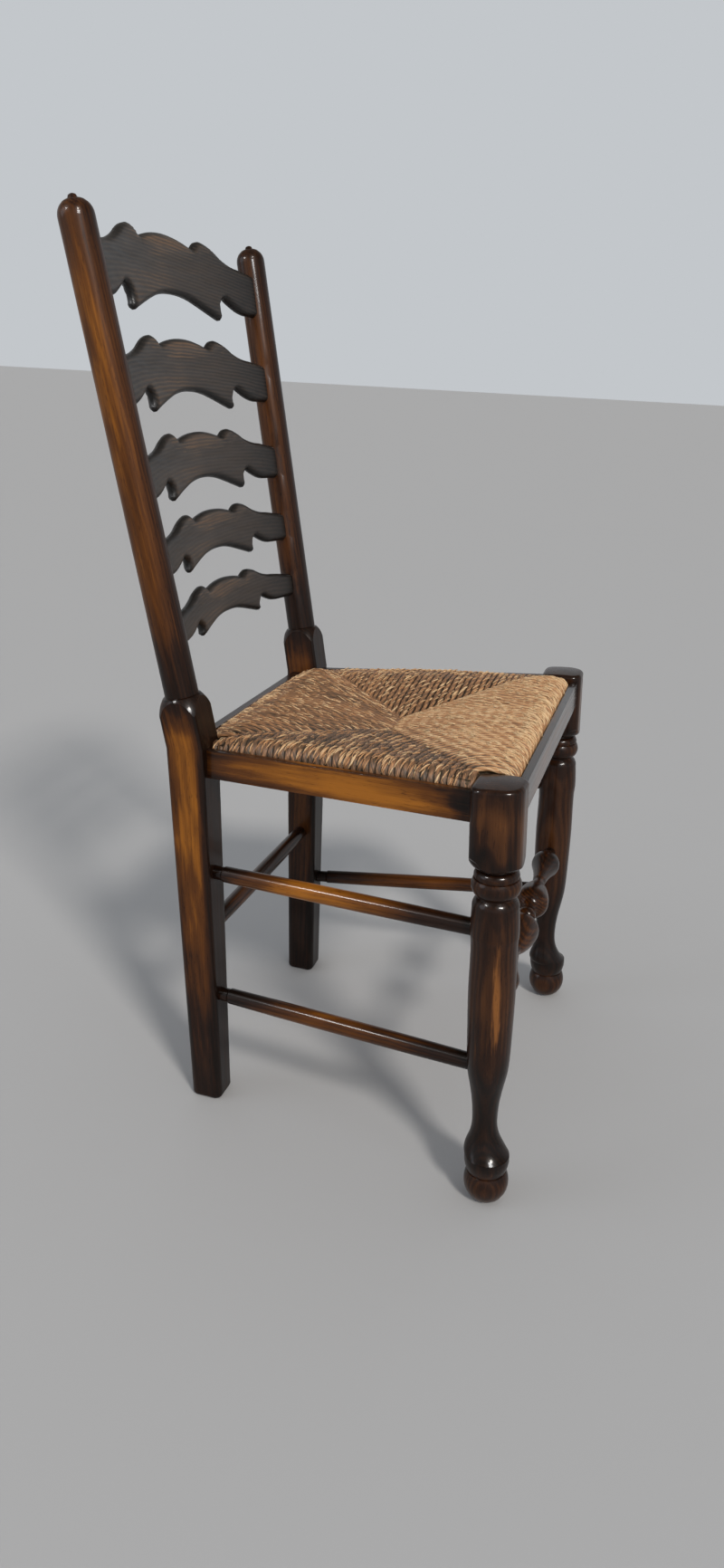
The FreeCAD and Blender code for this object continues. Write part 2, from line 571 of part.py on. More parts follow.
def rush_form():
    """Outer form of the woven seat, before it is notched round the legs."""
    flat_from = rush_flat_from()
    limit = side_x(SEAT_FRONT, SEAT_SIDE)
    inner = [RUSH_RIDGE_HALF + (flat_from - RUSH_RIDGE_HALF) * k / 4 for k in range(5)]
    outer = [flat_from + (limit - flat_from) * k / 3 for k in range(1, 4)]
    half = inner + outer + [limit + 3]
    stations = [-x for x in reversed(half)] + [0.0] + half
    form = Part.makeLoft([rush_section(x) for x in stations], True, True)
    y0, y1 = SEAT_FRONT - PAST, SEAT_BACK + PAST
    high = RUSH_CREST + RUSH_DISH
    plan = [(-side_x(y0, SEAT_SIDE), y0), (side_x(y0, SEAT_SIDE), y0), (side_x(y1, SEAT_SIDE), y1),
            (-side_x(y1, SEAT_SIDE), y1)]
    form = form.common(polygon_prism(plan, LEDGE - RUSH_SAG * 3, high))
    for side in (1, -1):
        form = form.cut(Part.makeLoft([side_roll(side, y0, high), side_roll(side, y1, high)], True, True))
    return form


def side_roll(side, y, high):
    """Section at depth y of what is pared away to roll the rush over a side edge."""
    crest = RUSH_CREST + 0.5
    low = RUSH_CREST - RUSH_ROLL
    edge = side_x(y, SEAT_SIDE)
    p = V(side * (edge - RUSH_CREST_INSET), y, high)
    q = V(p.x, y, crest)
    m = V(side * (edge - RUSH_ROLL * 0.33), y, RUSH_CREST - RUSH_ROLL * 0.29)
    n = V(side * edge, y, low)
    o = V(side * (edge + PAST), y, low)
    w = V(o.x, y, high)
    return Part.Wire([Part.makeLine(p, q), Part.Arc(q, m, n).toShape(), Part.makeLine(n, o),
                      Part.makeLine(o, w), Part.makeLine(w, p)])


def leg_notches(extra):
    """Boxes round the four legs where the drop-in seat passes them, this much larger than the legs."""
    z0, z1 = RAIL_BOTTOM - PAST, RUSH_CREST + PAST
    leg = LEG_X - BLOCK_HALF - extra
    post = POST_KNEE[0] - KNEE_HALF - extra
    front = box(leg, leg + PAST * 2, -PAST, BLOCK_HALF + extra, z0, z1)
    back = box(post, post + PAST * 2, KNEE_FRONT - extra, POST_KNEE[1] + PAST, z0, z1)
    return [front, back, mirrored(front), mirrored(back)]


def seat_bars():
    """The four bars of the drop-in frame: two side bars, and the front and back bars between them."""
    skin = SEAT_SIDE + RUSH_THICKNESS
    inside = skin + SIDE_BAR_WIDTH
    y0, y1 = SEAT_FRONT + RUSH_THICKNESS, SEAT_BACK - RUSH_THICKNESS
    z0, z1 = BAR_BOTTOM, BAR_BOTTOM + BAR_THICKNESS
    cutters = leg_notches(SEAT_GAP + RUSH_THICKNESS)
    left = polygon_prism(side_strip(y0, y1, skin, inside), z0, z1).cut(cutters)
    bars = {"seat_frame_left": left, "seat_frame_right": mirrored(left)}
    for name, ya, yb in (("front", y0, y0 + END_BAR_WIDTH), ("back", y1 - END_BAR_WIDTH, y1)):
        plan = [(-side_x(ya, inside), ya), (side_x(ya, inside), ya), (side_x(yb, inside), yb),
                (-side_x(yb, inside), yb)]
        bars["seat_frame_" + name] = polygon_prism(plan, z0, z1).cut(cutters)
    return bars


def stuffing():
    """Stuffing packed between the two layers of rush, thick beside the bars and thin towards the middle."""
    inside = SEAT_SIDE + RUSH_THICKNESS + SIDE_BAR_WIDTH
    ya = SEAT_FRONT + RUSH_THICKNESS + END_BAR_WIDTH
    yb = SEAT_BACK - RUSH_THICKNESS - END_BAR_WIDTH
    middle = (ya + yb) / 2
    low = BAR_BOTTOM
    high = BAR_BOTTOM + BAR_THICKNESS

    def ring(z, shrink):
        corners = [(-side_x(ya, inside), ya), (side_x(ya, inside), ya), (side_x(yb, inside), yb),
                   (-side_x(yb, inside), yb)]
        points = [V(x * shrink, middle + (y - middle) * shrink, z) for x, y in corners]
        return Part.makePolygon(points + [points[0]])

    whole = [ring(low - 5, 0.42), ring(low + 0.5, 1.0), ring(high - 4, 1.0)]
    dish = [ring(low - 12, 0.30), ring(low - 2, 0.44), ring(high - 4, 0.9), ring(high + 4, 1.05)]
    return Part.makeLoft(whole, True, True).cut(Part.makeLoft(dish, True, True))


def screw(base, way):
    """Slotted countersunk screw with its head at base, and the room that its head needs."""
    shank = Part.makeCylinder(SCREW_RADIUS, SCREW_LENGTH, base, way)
    head = Part.makeCone(SCREW_HEAD_RADIUS, SCREW_RADIUS, SCREW_HEAD_RADIUS * 0.75, base, way)
    reach = SCREW_HEAD_RADIUS * 2
    slot = Part.makeBox(reach * 2, reach * 2, SCREW_SLOT, V(-reach, -reach, -SCREW_SLOT / 2))
    slot.Placement = FreeCAD.Placement(base, FreeCAD.Rotation())
    slot = slot.cut(Part.makeCylinder(reach, PAST, base + way * SCREW_SLOT, way))
    room = Part.makeCylinder(SCREW_HEAD_RADIUS + SCREW_HEAD_GAP, SCREW_LENGTH, base - way * SCREW_LENGTH, way)
    return head.fuse(shank).cut(slot), room


def corner_block(face, way, neighbours):
    """Glued corner block on the sitter's left, inside the front or the back rail, and its two screws."""
    leg = CORNER_BLOCK_LEG
    z0, z1 = RAIL_BOTTOM + 1, LEDGE - CORNER_BLOCK_DROP
    across = V(side_x(face, RAIL_THICKNESS) - leg, face, (z0 + z1) / 2)
    along = V(side_x(face + way * leg, RAIL_THICKNESS), face + way * leg, (z0 + z1) / 2)
    plan = [(across.x, face), (side_x(face, RAIL_THICKNESS), face), (along.x, along.y)]
    body = main_solid(polygon_prism(plan, z0, z1).cut(neighbours))
    screws = []
    for share, direction in ((0.36, V(0, -way, 0)), (0.66, V(1, 0, 0))):
        base = between(across, along, share) + direction * SCREW_SINK
        solid, room = screw(base, direction)
        body = body.cut([solid, room])
        screws.append(solid)
    return main_solid(body), screws


def stand(shape, shift=0.0):
    """Lean a finished shape back onto the floor, then move it along y to the part's origin."""
    placed = shape.copy()
    placed.rotate(V(0, 0, 0), V(1, 0, 0), -SEAT_SLOPE)
    placed.translate(V(0, -shift, 0))
    return placed


def pair(parts, name, solid):
    """Enter a left-hand solid and its mirror image under one name."""
    parts[name + "_left"] = solid
    parts[name + "_right"] = mirrored(solid)


def build():
    """Every sub-part of the chair by name, still square to its seat."""
    parts = {}
    leg = front_leg()
    post = rear_post()
    posts = [post, mirrored(post)]
    uprights = [leg, mirrored(leg)] + posts

    slats, slat_mortises = all_slats(posts)
    pegs, peg_holes = slat_pegs()
    for index in (0, len(slats) - 1):
        slats[index] = slats[index].cut(peg_holes + [mirrored(hole) for hole in peg_holes])
    for index, solid in enumerate(slats):
        parts["slat_%d" % (index + 1)] = solid
    pegs = [post.common(peg) for peg in pegs]
    parts["slat_pegs"] = Part.makeCompound(pegs + [mirrored(peg) for peg in pegs])

    side_left, front_rail, back_rail, rail_mortises = seat_rails(uprights)
    screws = []
    for name, face, way in (("front", FRONT_RAIL_FACE + RAIL_THICKNESS, 1),
                            ("back", BACK_RAIL_FACE - RAIL_THICKNESS, -1)):
        block, pair_of_screws = corner_block(face, way, [leg, post, side_left, front_rail, back_rail])
        pair(parts, "corner_block_" + name, block)
        screws += pair_of_screws
    all_screws = screws + [mirrored(solid) for solid in screws]
    parts["corner_block_screws"] = Part.makeCompound(all_screws)
    pair(parts, "side_rail", side_left.cut(screws))
    parts["front_rail"] = front_rail.cut(all_screws)
    parts["back_rail"] = back_rail.cut(all_screws)

    leg_holes = []
    post_holes = []
    for name, z in (("upper", UPPER_STRETCHER), ("lower", LOWER_STRETCHER)):
        bar, post_hole, leg_hole = side_stretcher(z)
        pair(parts, name + "_stretcher", bar)
        post_holes.append(post_hole)
        leg_holes.append(leg_hole)
    parts["back_stretcher"], post_hole = back_stretcher()
    parts["front_stretcher"], leg_hole = front_stretcher()
    post_holes.append(post_hole)
    leg_holes.append(leg_hole)

    pair(parts, "front_leg", leg.cut(rail_mortises + leg_holes))
    left_mortises = [cut for cut in slat_mortises if cut.BoundBox.XMin > 0]
    pair(parts, "rear_post", post.cut(rail_mortises + post_holes + left_mortises + peg_holes))

    bars = seat_bars()
    fill = stuffing()
    parts.update(bars)
    parts["rush_stuffing"] = fill
    parts["woven_rush"] = rush_form().cut(leg_notches(SEAT_GAP)).cut(list(bars.values()) + [fill])
    return parts


def foot_cut(shape, rounded):
    """Trim a leg to the floor, and round the bottom edge of a square one."""
    below = box(-PAST * 5, PAST * 5, -PAST * 5, PAST * 8, -PAST, 0)
    trimmed = main_solid(shape.cut(below))
    if not rounded:
        return trimmed
    edges = [e for e in trimmed.Edges if max(v.Z for v in e.Vertexes) < 0.01]
    return trimmed.makeFillet(POST_FOOT_ROUND, edges)


def main():
    """Build the chair, stand it on the floor and write one file for each sub-part."""
    os.makedirs("parts", exist_ok=True)
    parts = {name: stand(shape) for name, shape in build().items()}
    for name in parts:
        if name.startswith(("front_leg", "rear_post")):
            parts[name] = foot_cut(parts[name], name.startswith("rear_post"))
    reach = Part.makeCompound([parts["front_leg_left"], parts["rear_post_left"]]).optimalBoundingBox()
    middle = (reach.YMin + reach.YMax) / 2
    for name, shape in sorted(parts.items()):
        shape.translate(V(0, -middle, 0))
        shape.exportStep("parts/%s.step" % name)
        print("%-26s %2d solids, %9.0f mm3%s" % (name, len(shape.Solids), shape.Volume,
                                                 "" if shape.isValid() else ", not valid"))
    print("origin at y = %.3f of the leaned chair" % middle)


main()
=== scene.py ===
import logging
import math
import random
from collections.abc import Callable, Iterator, Sequence
from dataclasses import dataclass, field
from enum import Enum

import bmesh
import bpy
from bmesh.types import BMesh, BMVert
from bpy.types import Light, Material, Node, NodeSocket, NodeTree, Object
from mathutils import Matrix, Vector, kdtree, noise


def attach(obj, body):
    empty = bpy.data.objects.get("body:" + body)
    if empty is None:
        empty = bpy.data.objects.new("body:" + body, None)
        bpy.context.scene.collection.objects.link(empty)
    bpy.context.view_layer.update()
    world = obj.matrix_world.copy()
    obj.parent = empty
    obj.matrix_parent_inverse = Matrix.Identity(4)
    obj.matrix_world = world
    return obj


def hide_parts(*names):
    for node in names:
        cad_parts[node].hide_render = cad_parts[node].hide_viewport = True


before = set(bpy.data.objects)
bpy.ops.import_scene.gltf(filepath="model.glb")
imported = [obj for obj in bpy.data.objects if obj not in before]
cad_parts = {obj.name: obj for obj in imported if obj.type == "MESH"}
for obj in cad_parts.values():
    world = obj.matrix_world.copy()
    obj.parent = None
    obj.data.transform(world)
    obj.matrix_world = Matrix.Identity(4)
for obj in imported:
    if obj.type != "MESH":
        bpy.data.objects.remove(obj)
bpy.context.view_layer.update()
LOG = logging.getLogger("ladderback_chair")

Point2 = tuple[float, float]
Point3 = tuple[float, float, float]
Bands = tuple[tuple[float, float], ...]
Arc = tuple[float, float, float, float, float]

MM_PER_M = 1000.0
# Points nearer than this, in metres, are one point: in a copied solid, and in a new mesh.
MERGE_SOLID_M = 2e-5
MERGE_NEW_M = 1e-6
# Blender's noise seldom leaves this range, which is spread over 0 to 1.
NOISE_RANGE = (0.28, 0.72)


def linear(hex_colour: str) -> tuple[float, float, float, float]:
    """Turn an sRGB hex colour into the linear colour that a socket takes.

    Args:
        hex_colour: six hex digits, with or without a leading mark.

    Returns:
        Linear red, green, blue and an alpha of 1.
    """
    digits = hex_colour.lstrip("#")
    parts = [int(digits[k:k + 2], 16) / 255 for k in (0, 2, 4)]
    curve = [c / 12.92 if c <= 0.04045 else ((c + 0.055) / 1.055) ** 2.4 for c in parts]
    return (curve[0], curve[1], curve[2], 1.0)


def add_node(tree: NodeTree, kind: str, inputs: dict | None = None,
             stops: Sequence[tuple] | None = None, **settings: object) -> Node:
    """Add a node, set its options and sockets, and link what is a socket already.

    Args:
        tree: the material's node tree.
        kind: the node's Blender type name.
        inputs: socket name or index to a value or an output socket.
        stops: for a colour ramp, its (position, hex colour or grey) pairs.
        settings: plain attributes of the node.

    Returns:
        The new node.
    """
    node = tree.nodes.new(kind)
    for key, value in settings.items():
        setattr(node, key, value)
    for key, value in (inputs or {}).items():
        if isinstance(value, NodeSocket):
            tree.links.new(value, node.inputs[key])
        else:
            node.inputs[key].default_value = value
    if stops:
        ramp = node.color_ramp.elements
        while len(ramp) < len(stops):
            ramp.new(0.5)
        for element, (position, colour) in zip(ramp, stops):
            element.position = position
            element.color = linear(colour) if isinstance(colour, str) else (colour, colour, colour, 1.0)
    return node


def empty_material(name: str) -> Material:
    """Make a material with an empty node tree.

    Args:
        name: the material's name.

    Returns:
        The material.
    """
    mat = bpy.data.materials.new(name)
    mat.use_nodes = True
    mat.node_tree.nodes.clear()
    return mat


class Slot(Enum):
    """The record's material slots, which new pieces are passed with."""

    POLISHED = "polished_wood"
    RUSH = "rush"


class Body(Enum):
    """Rigid bodies of the chair."""

    FRAME = "chair_frame"
    SEAT = "drop_in_seat"


@dataclass(frozen=True)
class ChairFrame:
    """The chair's own axes, square to the seat, and how they lean back onto the floor.

    Attributes:
        lean: how far the chair leans back, in radians.
        origin_y: how far in front of the chair's middle the axes start, in millimetres.
    """

    lean: float = math.radians(3.55)
    origin_y: float = 228.669

    def matrix(self) -> Matrix:
        """Return the matrix from millimetres in the chair's axes to metres on the floor."""
        return (Matrix.Translation((0, -self.origin_y / MM_PER_M, 0)) @ Matrix.Rotation(-self.lean, 4, "X")
                @ Matrix.Scale(0.001, 4))

    def point(self, x: float, y: float, z: float) -> Vector:
        """Return a point in metres from one in millimetres in the chair's axes."""
        return self.matrix() @ Vector((x, y, z))

    def direction(self, x: float, y: float, z: float) -> Vector:
        """Return a unit direction on the floor's axes."""
        return (self.matrix().to_3x3() @ Vector((x, y, z))).normalized()


AXES = ChairFrame()


@dataclass(frozen=True)
class PolishedWood:
    """Hardwood, turned or planed, stained dark brown and rubbed to a clear gloss.

    The stain is worn thin and golden in the middle of each length and face, and lies thick and near black
    along edges and at joints. The eye sees soft streaks along the grain, growth lines where the surface
    crosses them, and narrow clear highlights. Real fibres and pores, a few tenths of a millimetre wide, are
    too fine to show, so both are drawn several times coarser.

    Attributes:
        name: the material's name.
        along: direction of the grain, the z of the finish's own coordinates in millimetres.
        side: direction of its x.
        centre: where its coordinates start, in metres.
        bands: place along the grain and wear of the stain there, from 0, thick, to 1, thin.
        axis: points of the piece's bent middle line, if it has one.
        section_mm: width and depth of a square piece.
        turned: from where to where along the grain a square piece is turned round.
        edge_wear: share of the wear that is left at a square piece's edges.
        edge_span: share of the half width where the edge's thicker stain starts and is full.
        edge_ragged: how far clouds shift that line.
        thick: x and y of a direction, and from where to where along it the wood darkens as painted shade.
        shaded_wear: share of the wear that is left in that painted shade.
        shade_wander: how many millimetres clouds shift that line.
        patch: middle and half sizes of a patch where the stain is rubbed through.
        patch_wear: how much thinner the stain is there.
        patch_ragged: how far fine streaks fray the patch.
        patch_span: from where to where the patch fades in.
        rim_mm: how far from a shaped rim the stain is worn as the bands say, read from the layer "rim".
        rim_wear: share of the wear at the rim itself; below 0 it is darker than unworn stain.
        wear: strength of the bands.
        band_wander: how many millimetres clouds shift the bands.
        ring_mm: width of a growth ring.
        ring_waver: how uneven the rings are.
        pith_mm: where the rings' middle lies, in x and y.
        pith_tilt: how far it is out of true, in radians.
        figure: strength of the growth rings.
        streaks: strength of the fine and of the broad streaks.
        clouds: strength of the clouds in the stain.
        pore_dark: how much darker a pore is.
        fine_mm: width and length of a fine streak.
        broad_mm: width and length of a broad streak.
        cloud_mm: width and length of a cloud.
        pore_mm: width and length of a cell that may hold a pore.
        pore_span: from where to where in the noise a pore fades in.
        relief: strength of the fine streaks' bump.
        relief_m: its depth in metres.
        gloss: least roughness of the wood.
        gloss_spread: how much rougher a broad streak may be.
        sheen: specular level of the wood.
        coat: weight of the polish.
        coat_rough: roughness of the polish.
        black: colour of the thickest stain.
        dark: colour of thick stain.
        warm: colour of thin stain.
        light: colour where it is worn through.
    """

    name: str
    along: Vector
    side: Vector
    centre: Vector
    bands: Bands
    axis: tuple[Point3, ...] = ()
    section_mm: Point2 | None = None
    turned: Point2 | None = None
    edge_wear: float = 0.35
    edge_span: Point2 = (0.25, 0.85)
    edge_ragged: float = 0.3
    thick: tuple[float, float, float, float] | None = None
    shaded_wear: float = 0.15
    shade_wander: float = 5.0
    patch: tuple[Point3, Point3] | None = None
    patch_wear: float = 0.42
    patch_ragged: float = 0.5
    patch_span: Point2 = (0.42, 0.72)
    rim_mm: float | None = None
    rim_wear: float = -0.5
    wear: float = 0.95
    band_wander: float = 50.0
    ring_mm: float = 3.4
    ring_waver: float = 2.4
    pith_mm: Point2 = (46.0, 31.0)
    pith_tilt: Point2 = (0.05, 0.04)
    figure: float = 0.10
    streaks: float = 0.16
    clouds: float = 0.30
    pore_dark: float = 0.14
    fine_mm: Point2 = (1.7, 55.0)
    broad_mm: Point2 = (5.0, 140.0)
    cloud_mm: Point2 = (36.0, 110.0)
    pore_mm: Point2 = (1.1, 9.0)
    pore_span: Point2 = (0.62, 0.72)
    relief: float = 0.08
    relief_m: float = 0.0002
    gloss: float = 0.26
    gloss_spread: float = 0.12
    sheen: float = 0.11
    coat: float = 0.30
    coat_rough: float = 0.12
    black: str = "#120905"
    dark: str = "#2a160b"
    warm: str = "#5f3612"
    light: str = "#a5661f"

    def build(self) -> Material:
        """Build the material.

        Returns:
            The material, with its grain along this finish's own line.
        """
        mat = empty_material(self.name)
        tree = mat.node_tree
        p = self.grain_space(tree)
        fine, broad, cloud = (self.streak(tree, p, size)
                              for size in (self.fine_mm, self.broad_mm, self.cloud_mm))
        grain = self.weighted(tree, [(fine, self.streaks), (broad, self.streaks),
                                     (self.pores(tree, p), -self.pore_dark),
                                     (self.growth(tree, p), self.figure), (cloud, self.clouds)])
        terms = [(grain, 1.0), (self.worn(tree, p, cloud), self.wear)]
        if self.patch:
            terms.append((self.rubbed(tree, p, fine), self.patch_wear))
        total = self.weighted(tree, terms)
        # Streaks, rings and clouds add half their strength on average, which comes off again.
        average = 0.5 * (self.clouds + self.figure) + self.streaks
        level = add_node(tree, "ShaderNodeMath", {0: total, 1: -average}, operation="ADD", use_clamp=True)
        colour = add_node(tree, "ShaderNodeValToRGB", {"Fac": level.outputs[0]},
                          [(0.0, self.black), (0.25, self.dark), (0.62, self.warm), (1.0, self.light)])
        rough = add_node(tree, "ShaderNodeMapRange", {
            "Value": broad, "To Min": self.gloss, "To Max": self.gloss + self.gloss_spread})
        bump = add_node(tree, "ShaderNodeBump", {
            "Height": fine, "Strength": self.relief, "Distance": self.relief_m})
        shader = add_node(tree, "ShaderNodeBsdfPrincipled", {
            "Base Color": colour.outputs["Color"], "Roughness": rough.outputs["Result"], "IOR": 1.45,
            "Specular IOR Level": self.sheen, "Coat Weight": self.coat, "Coat Roughness": self.coat_rough,
            "Normal": bump.outputs["Normal"]})
        add_node(tree, "ShaderNodeOutputMaterial", {"Surface": shader.outputs["BSDF"]})
        return mat

    def grain_space(self, tree: NodeTree) -> NodeSocket:
        """Return coordinates in millimetres, with z along the grain and x towards this finish's side.

        Where the finish has an axis, x and y are measured from that bent line.

        Args:
            tree: the material's node tree.

        Returns:
            The coordinates' socket.
        """
        w = self.along.normalized()
        u = (self.side - w * w.dot(self.side)).normalized()
        turn = Matrix((u, w.cross(u), w))
        coords = add_node(tree, "ShaderNodeTexCoord")
        local = add_node(tree, "ShaderNodeMapping", {
            "Vector": coords.outputs["Object"], "Location": turn @ (self.centre * -MM_PER_M),
            "Rotation": turn.to_euler(), "Scale": (MM_PER_M, MM_PER_M, MM_PER_M)})
        place = local.outputs["Vector"]
        height = add_node(tree, "ShaderNodeSeparateXYZ", {"Vector": place}).outputs["Z"]
        for low, high in zip(self.axis, self.axis[1:]):
            share = add_node(tree, "ShaderNodeMapRange", {
                "Value": height, "From Min": low[2], "From Max": high[2]})
            drift = Vector(high) - Vector(low)
            moved = add_node(tree, "ShaderNodeVectorMath", {
                0: share.outputs["Result"], 1: (-drift.x, -drift.y, 0), 2: place}, operation="MULTIPLY_ADD")
            place = moved.outputs["Vector"]
        return place

    def rubbed(self, tree: NodeTree, p: NodeSocket, fine: NodeSocket) -> NodeSocket:
        """Return the long patch where the stain is rubbed through.

        Args:
            tree: the material's node tree.
            p: the grain's coordinates.
            fine: the fine streaks, which fray the patch.

        Returns:
            1 in the patch and 0 outside it.
        """
        middle, half = self.patch
        lens = add_node(tree, "ShaderNodeMapping", {
            "Vector": p, "Scale": tuple(1 / size for size in half),
            "Location": tuple(-m / size for m, size in zip(middle, half))})
        ball = add_node(tree, "ShaderNodeTexGradient", {
            "Vector": lens.outputs["Vector"]}, gradient_type="SPHERICAL")
        ragged = add_node(tree, "ShaderNodeMath", {
            0: fine, 1: self.patch_ragged, 2: ball.outputs["Fac"]}, operation="MULTIPLY_ADD")
        low, high = self.patch_span
        edge = add_node(tree, "ShaderNodeMapRange", {
            "Value": ragged.outputs[0], "From Min": low, "From Max": high})
        return edge.outputs["Result"]

    def pores(self, tree: NodeTree, p: NodeSocket) -> NodeSocket:
        """Return the open pores: short dark dashes along the grain, coarser than real so that they show.

        Args:
            tree: the material's node tree.
            p: the grain's coordinates.

        Returns:
            1 in a pore and 0 outside it.
        """
        width, run = self.pore_mm
        drawn = add_node(tree, "ShaderNodeMapping", {"Vector": p, "Scale": (1 / width, 1 / width, 1 / run)})
        cells = add_node(tree, "ShaderNodeTexNoise", {
            "Vector": drawn.outputs["Vector"], "Scale": 1.0, "Detail": 1.0})
        low, high = self.pore_span
        dash = add_node(tree, "ShaderNodeMapRange", {
            "Value": cells.outputs["Fac"], "From Min": low, "From Max": high})
        return dash.outputs["Result"]

    def growth(self, tree: NodeTree, p: NodeSocket) -> NodeSocket:
        """Return the growth rings round a pith that lies beside the piece and a little out of true.

        Args:
            tree: the material's node tree.
            p: the grain's coordinates.

        Returns:
            Waves from 0 to 1. A wave texture has 20 / tau rings to the unit, so its scale is worked out
            from the ring's width.
        """
        shifted = add_node(tree, "ShaderNodeMapping", {
            "Vector": p, "Location": (*self.pith_mm, 0), "Rotation": (*self.pith_tilt, 0)})
        rings = add_node(tree, "ShaderNodeTexWave", {
            "Vector": shifted.outputs["Vector"], "Scale": math.tau / 20 / self.ring_mm,
            "Distortion": self.ring_waver, "Detail": 2.0, "Detail Scale": 0.25},
            wave_type="RINGS", rings_direction="Z", wave_profile="SIN")
        return rings.outputs["Fac"]

    def worn(self, tree: NodeTree, p: NodeSocket, cloud: NodeSocket) -> NodeSocket:
        """Return how thin the stain is: by the bands along the piece, less towards its edges, and less on a
        side that is in painted shade.

        Args:
            tree: the material's node tree.
            p: the grain's coordinates.
            cloud: the clouds, which make every line uneven.

        Returns:
            0 where the stain is thick and 1 where it is thinnest.
        """
        split = add_node(tree, "ShaderNodeSeparateXYZ", {"Vector": p})
        wander = add_node(tree, "ShaderNodeMath", {
            0: cloud, 1: self.band_wander, 2: split.outputs["Z"]}, operation="MULTIPLY_ADD")
        first, last = self.bands[0][0], self.bands[-1][0]
        span = add_node(tree, "ShaderNodeMapRange", {
            "Value": wander.outputs[0], "From Min": first + self.band_wander / 2,
            "From Max": last + self.band_wander / 2})
        ramp = add_node(tree, "ShaderNodeValToRGB", {"Fac": span.outputs["Result"]},
                        [((at - first) / (last - first), tone) for at, tone in self.bands])
        ramp.color_ramp.interpolation = "EASE"
        worn = ramp.outputs["Color"]
        if self.section_mm:
            worn = self.thinned(tree, worn, self.middle(tree, split, cloud))
        # Painted shade: one side of the piece is drawn darker, as if its stain lay thick.
        if self.thick:
            x, y, start, full = self.thick
            towards = self.weighted(tree, [(split.outputs["X"], x), (split.outputs["Y"], y),
                                           (cloud, self.shade_wander)])
            side = add_node(tree, "ShaderNodeMapRange", {
                "Value": towards, "From Min": start, "From Max": full, "To Min": 1.0,
                "To Max": self.shaded_wear})
            worn = self.thinned(tree, worn, side.outputs["Result"])
        if self.rim_mm:
            rim = add_node(tree, "ShaderNodeAttribute", attribute_name="rim")
            inner = add_node(tree, "ShaderNodeMapRange", {
                "Value": rim.outputs["Fac"], "From Max": self.rim_mm, "To Min": self.rim_wear, "To Max": 1.0},
                interpolation_type="SMOOTHSTEP")
            worn = self.thinned(tree, worn, inner.outputs["Result"])
        return worn

    @staticmethod
    def thinned(tree: NodeTree, worn: NodeSocket, share: NodeSocket) -> NodeSocket:
        """Return the wear times this share."""
        return add_node(tree, "ShaderNodeMath", {0: worn, 1: share}, operation="MULTIPLY").outputs[0]

    def middle(self, tree: NodeTree, split: Node, cloud: NodeSocket) -> NodeSocket:
        """Return how near the middle of a square piece's face a point lies.

        Args:
            tree: the material's node tree.
            split: the grain's coordinates, taken apart.
            cloud: the clouds, which make the line uneven.

        Returns:
            1 in the middle of each face and less towards its edges, and 1 wherever the piece is turned.
        """
        across = [add_node(tree, "ShaderNodeMath", {
            0: split.outputs[axis], 1: 2 / size}, operation="MULTIPLY")
                  for axis, size in zip("XY", self.section_mm)]
        spans = [add_node(tree, "ShaderNodeMath", {0: node.outputs[0]}, operation="ABSOLUTE")
                 for node in across]
        nearest = add_node(tree, "ShaderNodeMath", {
            0: spans[0].outputs[0], 1: spans[1].outputs[0]}, operation="MINIMUM")
        ragged = add_node(tree, "ShaderNodeMath", {
            0: cloud, 1: -self.edge_ragged, 2: nearest.outputs[0]}, operation="MULTIPLY_ADD")
        start, full = self.edge_span
        edge = add_node(tree, "ShaderNodeMapRange", {
            "Value": ragged.outputs[0], "From Min": start, "From Max": full, "To Min": 1.0,
            "To Max": self.edge_wear}, interpolation_type="SMOOTHSTEP").outputs["Result"]
        if not self.turned:
            return edge
        low, high = self.turned
        is_round = add_node(tree, "ShaderNodeMath", {
            0: split.outputs["Z"], 1: (low + high) / 2, 2: (high - low) / 2}, operation="COMPARE")
        return add_node(tree, "ShaderNodeMath", {
            0: edge, 1: is_round.outputs[0]}, operation="MAXIMUM").outputs[0]

    @staticmethod
    def streak(tree: NodeTree, vector: NodeSocket, size: Point2) -> NodeSocket:
        """Return noise drawn out along the grain.

        Args:
            tree: the material's node tree.
            vector: the grain's coordinates.
            size: width and length of a streak in millimetres.

        Returns:
            Noise from 0 to 1.
        """
        width, run = size
        drawn = add_node(tree, "ShaderNodeMapping", {
            "Vector": vector, "Scale": (1 / width, 1 / width, 1 / run)})
        cells = add_node(tree, "ShaderNodeTexNoise", {
            "Vector": drawn.outputs["Vector"], "Scale": 1.0, "Detail": 2.0, "Roughness": 0.55,
            "Distortion": 0.2})
        low, high = NOISE_RANGE
        spread = add_node(tree, "ShaderNodeMapRange", {
            "Value": cells.outputs["Fac"], "From Min": low, "From Max": high})
        return spread.outputs["Result"]

    @staticmethod
    def weighted(tree: NodeTree, terms: Sequence[tuple[NodeSocket, float]]) -> NodeSocket:
        """Return the weighted sum of some values.

        Args:
            tree: the material's node tree.
            terms: each value with its weight.

        Returns:
            The sum.
        """
        total: NodeSocket | float = 0.0
        for value, weight in terms:
            total = add_node(tree, "ShaderNodeMath", {
                0: value, 1: weight, 2: total}, operation="MULTIPLY_ADD").outputs[0]
        return total


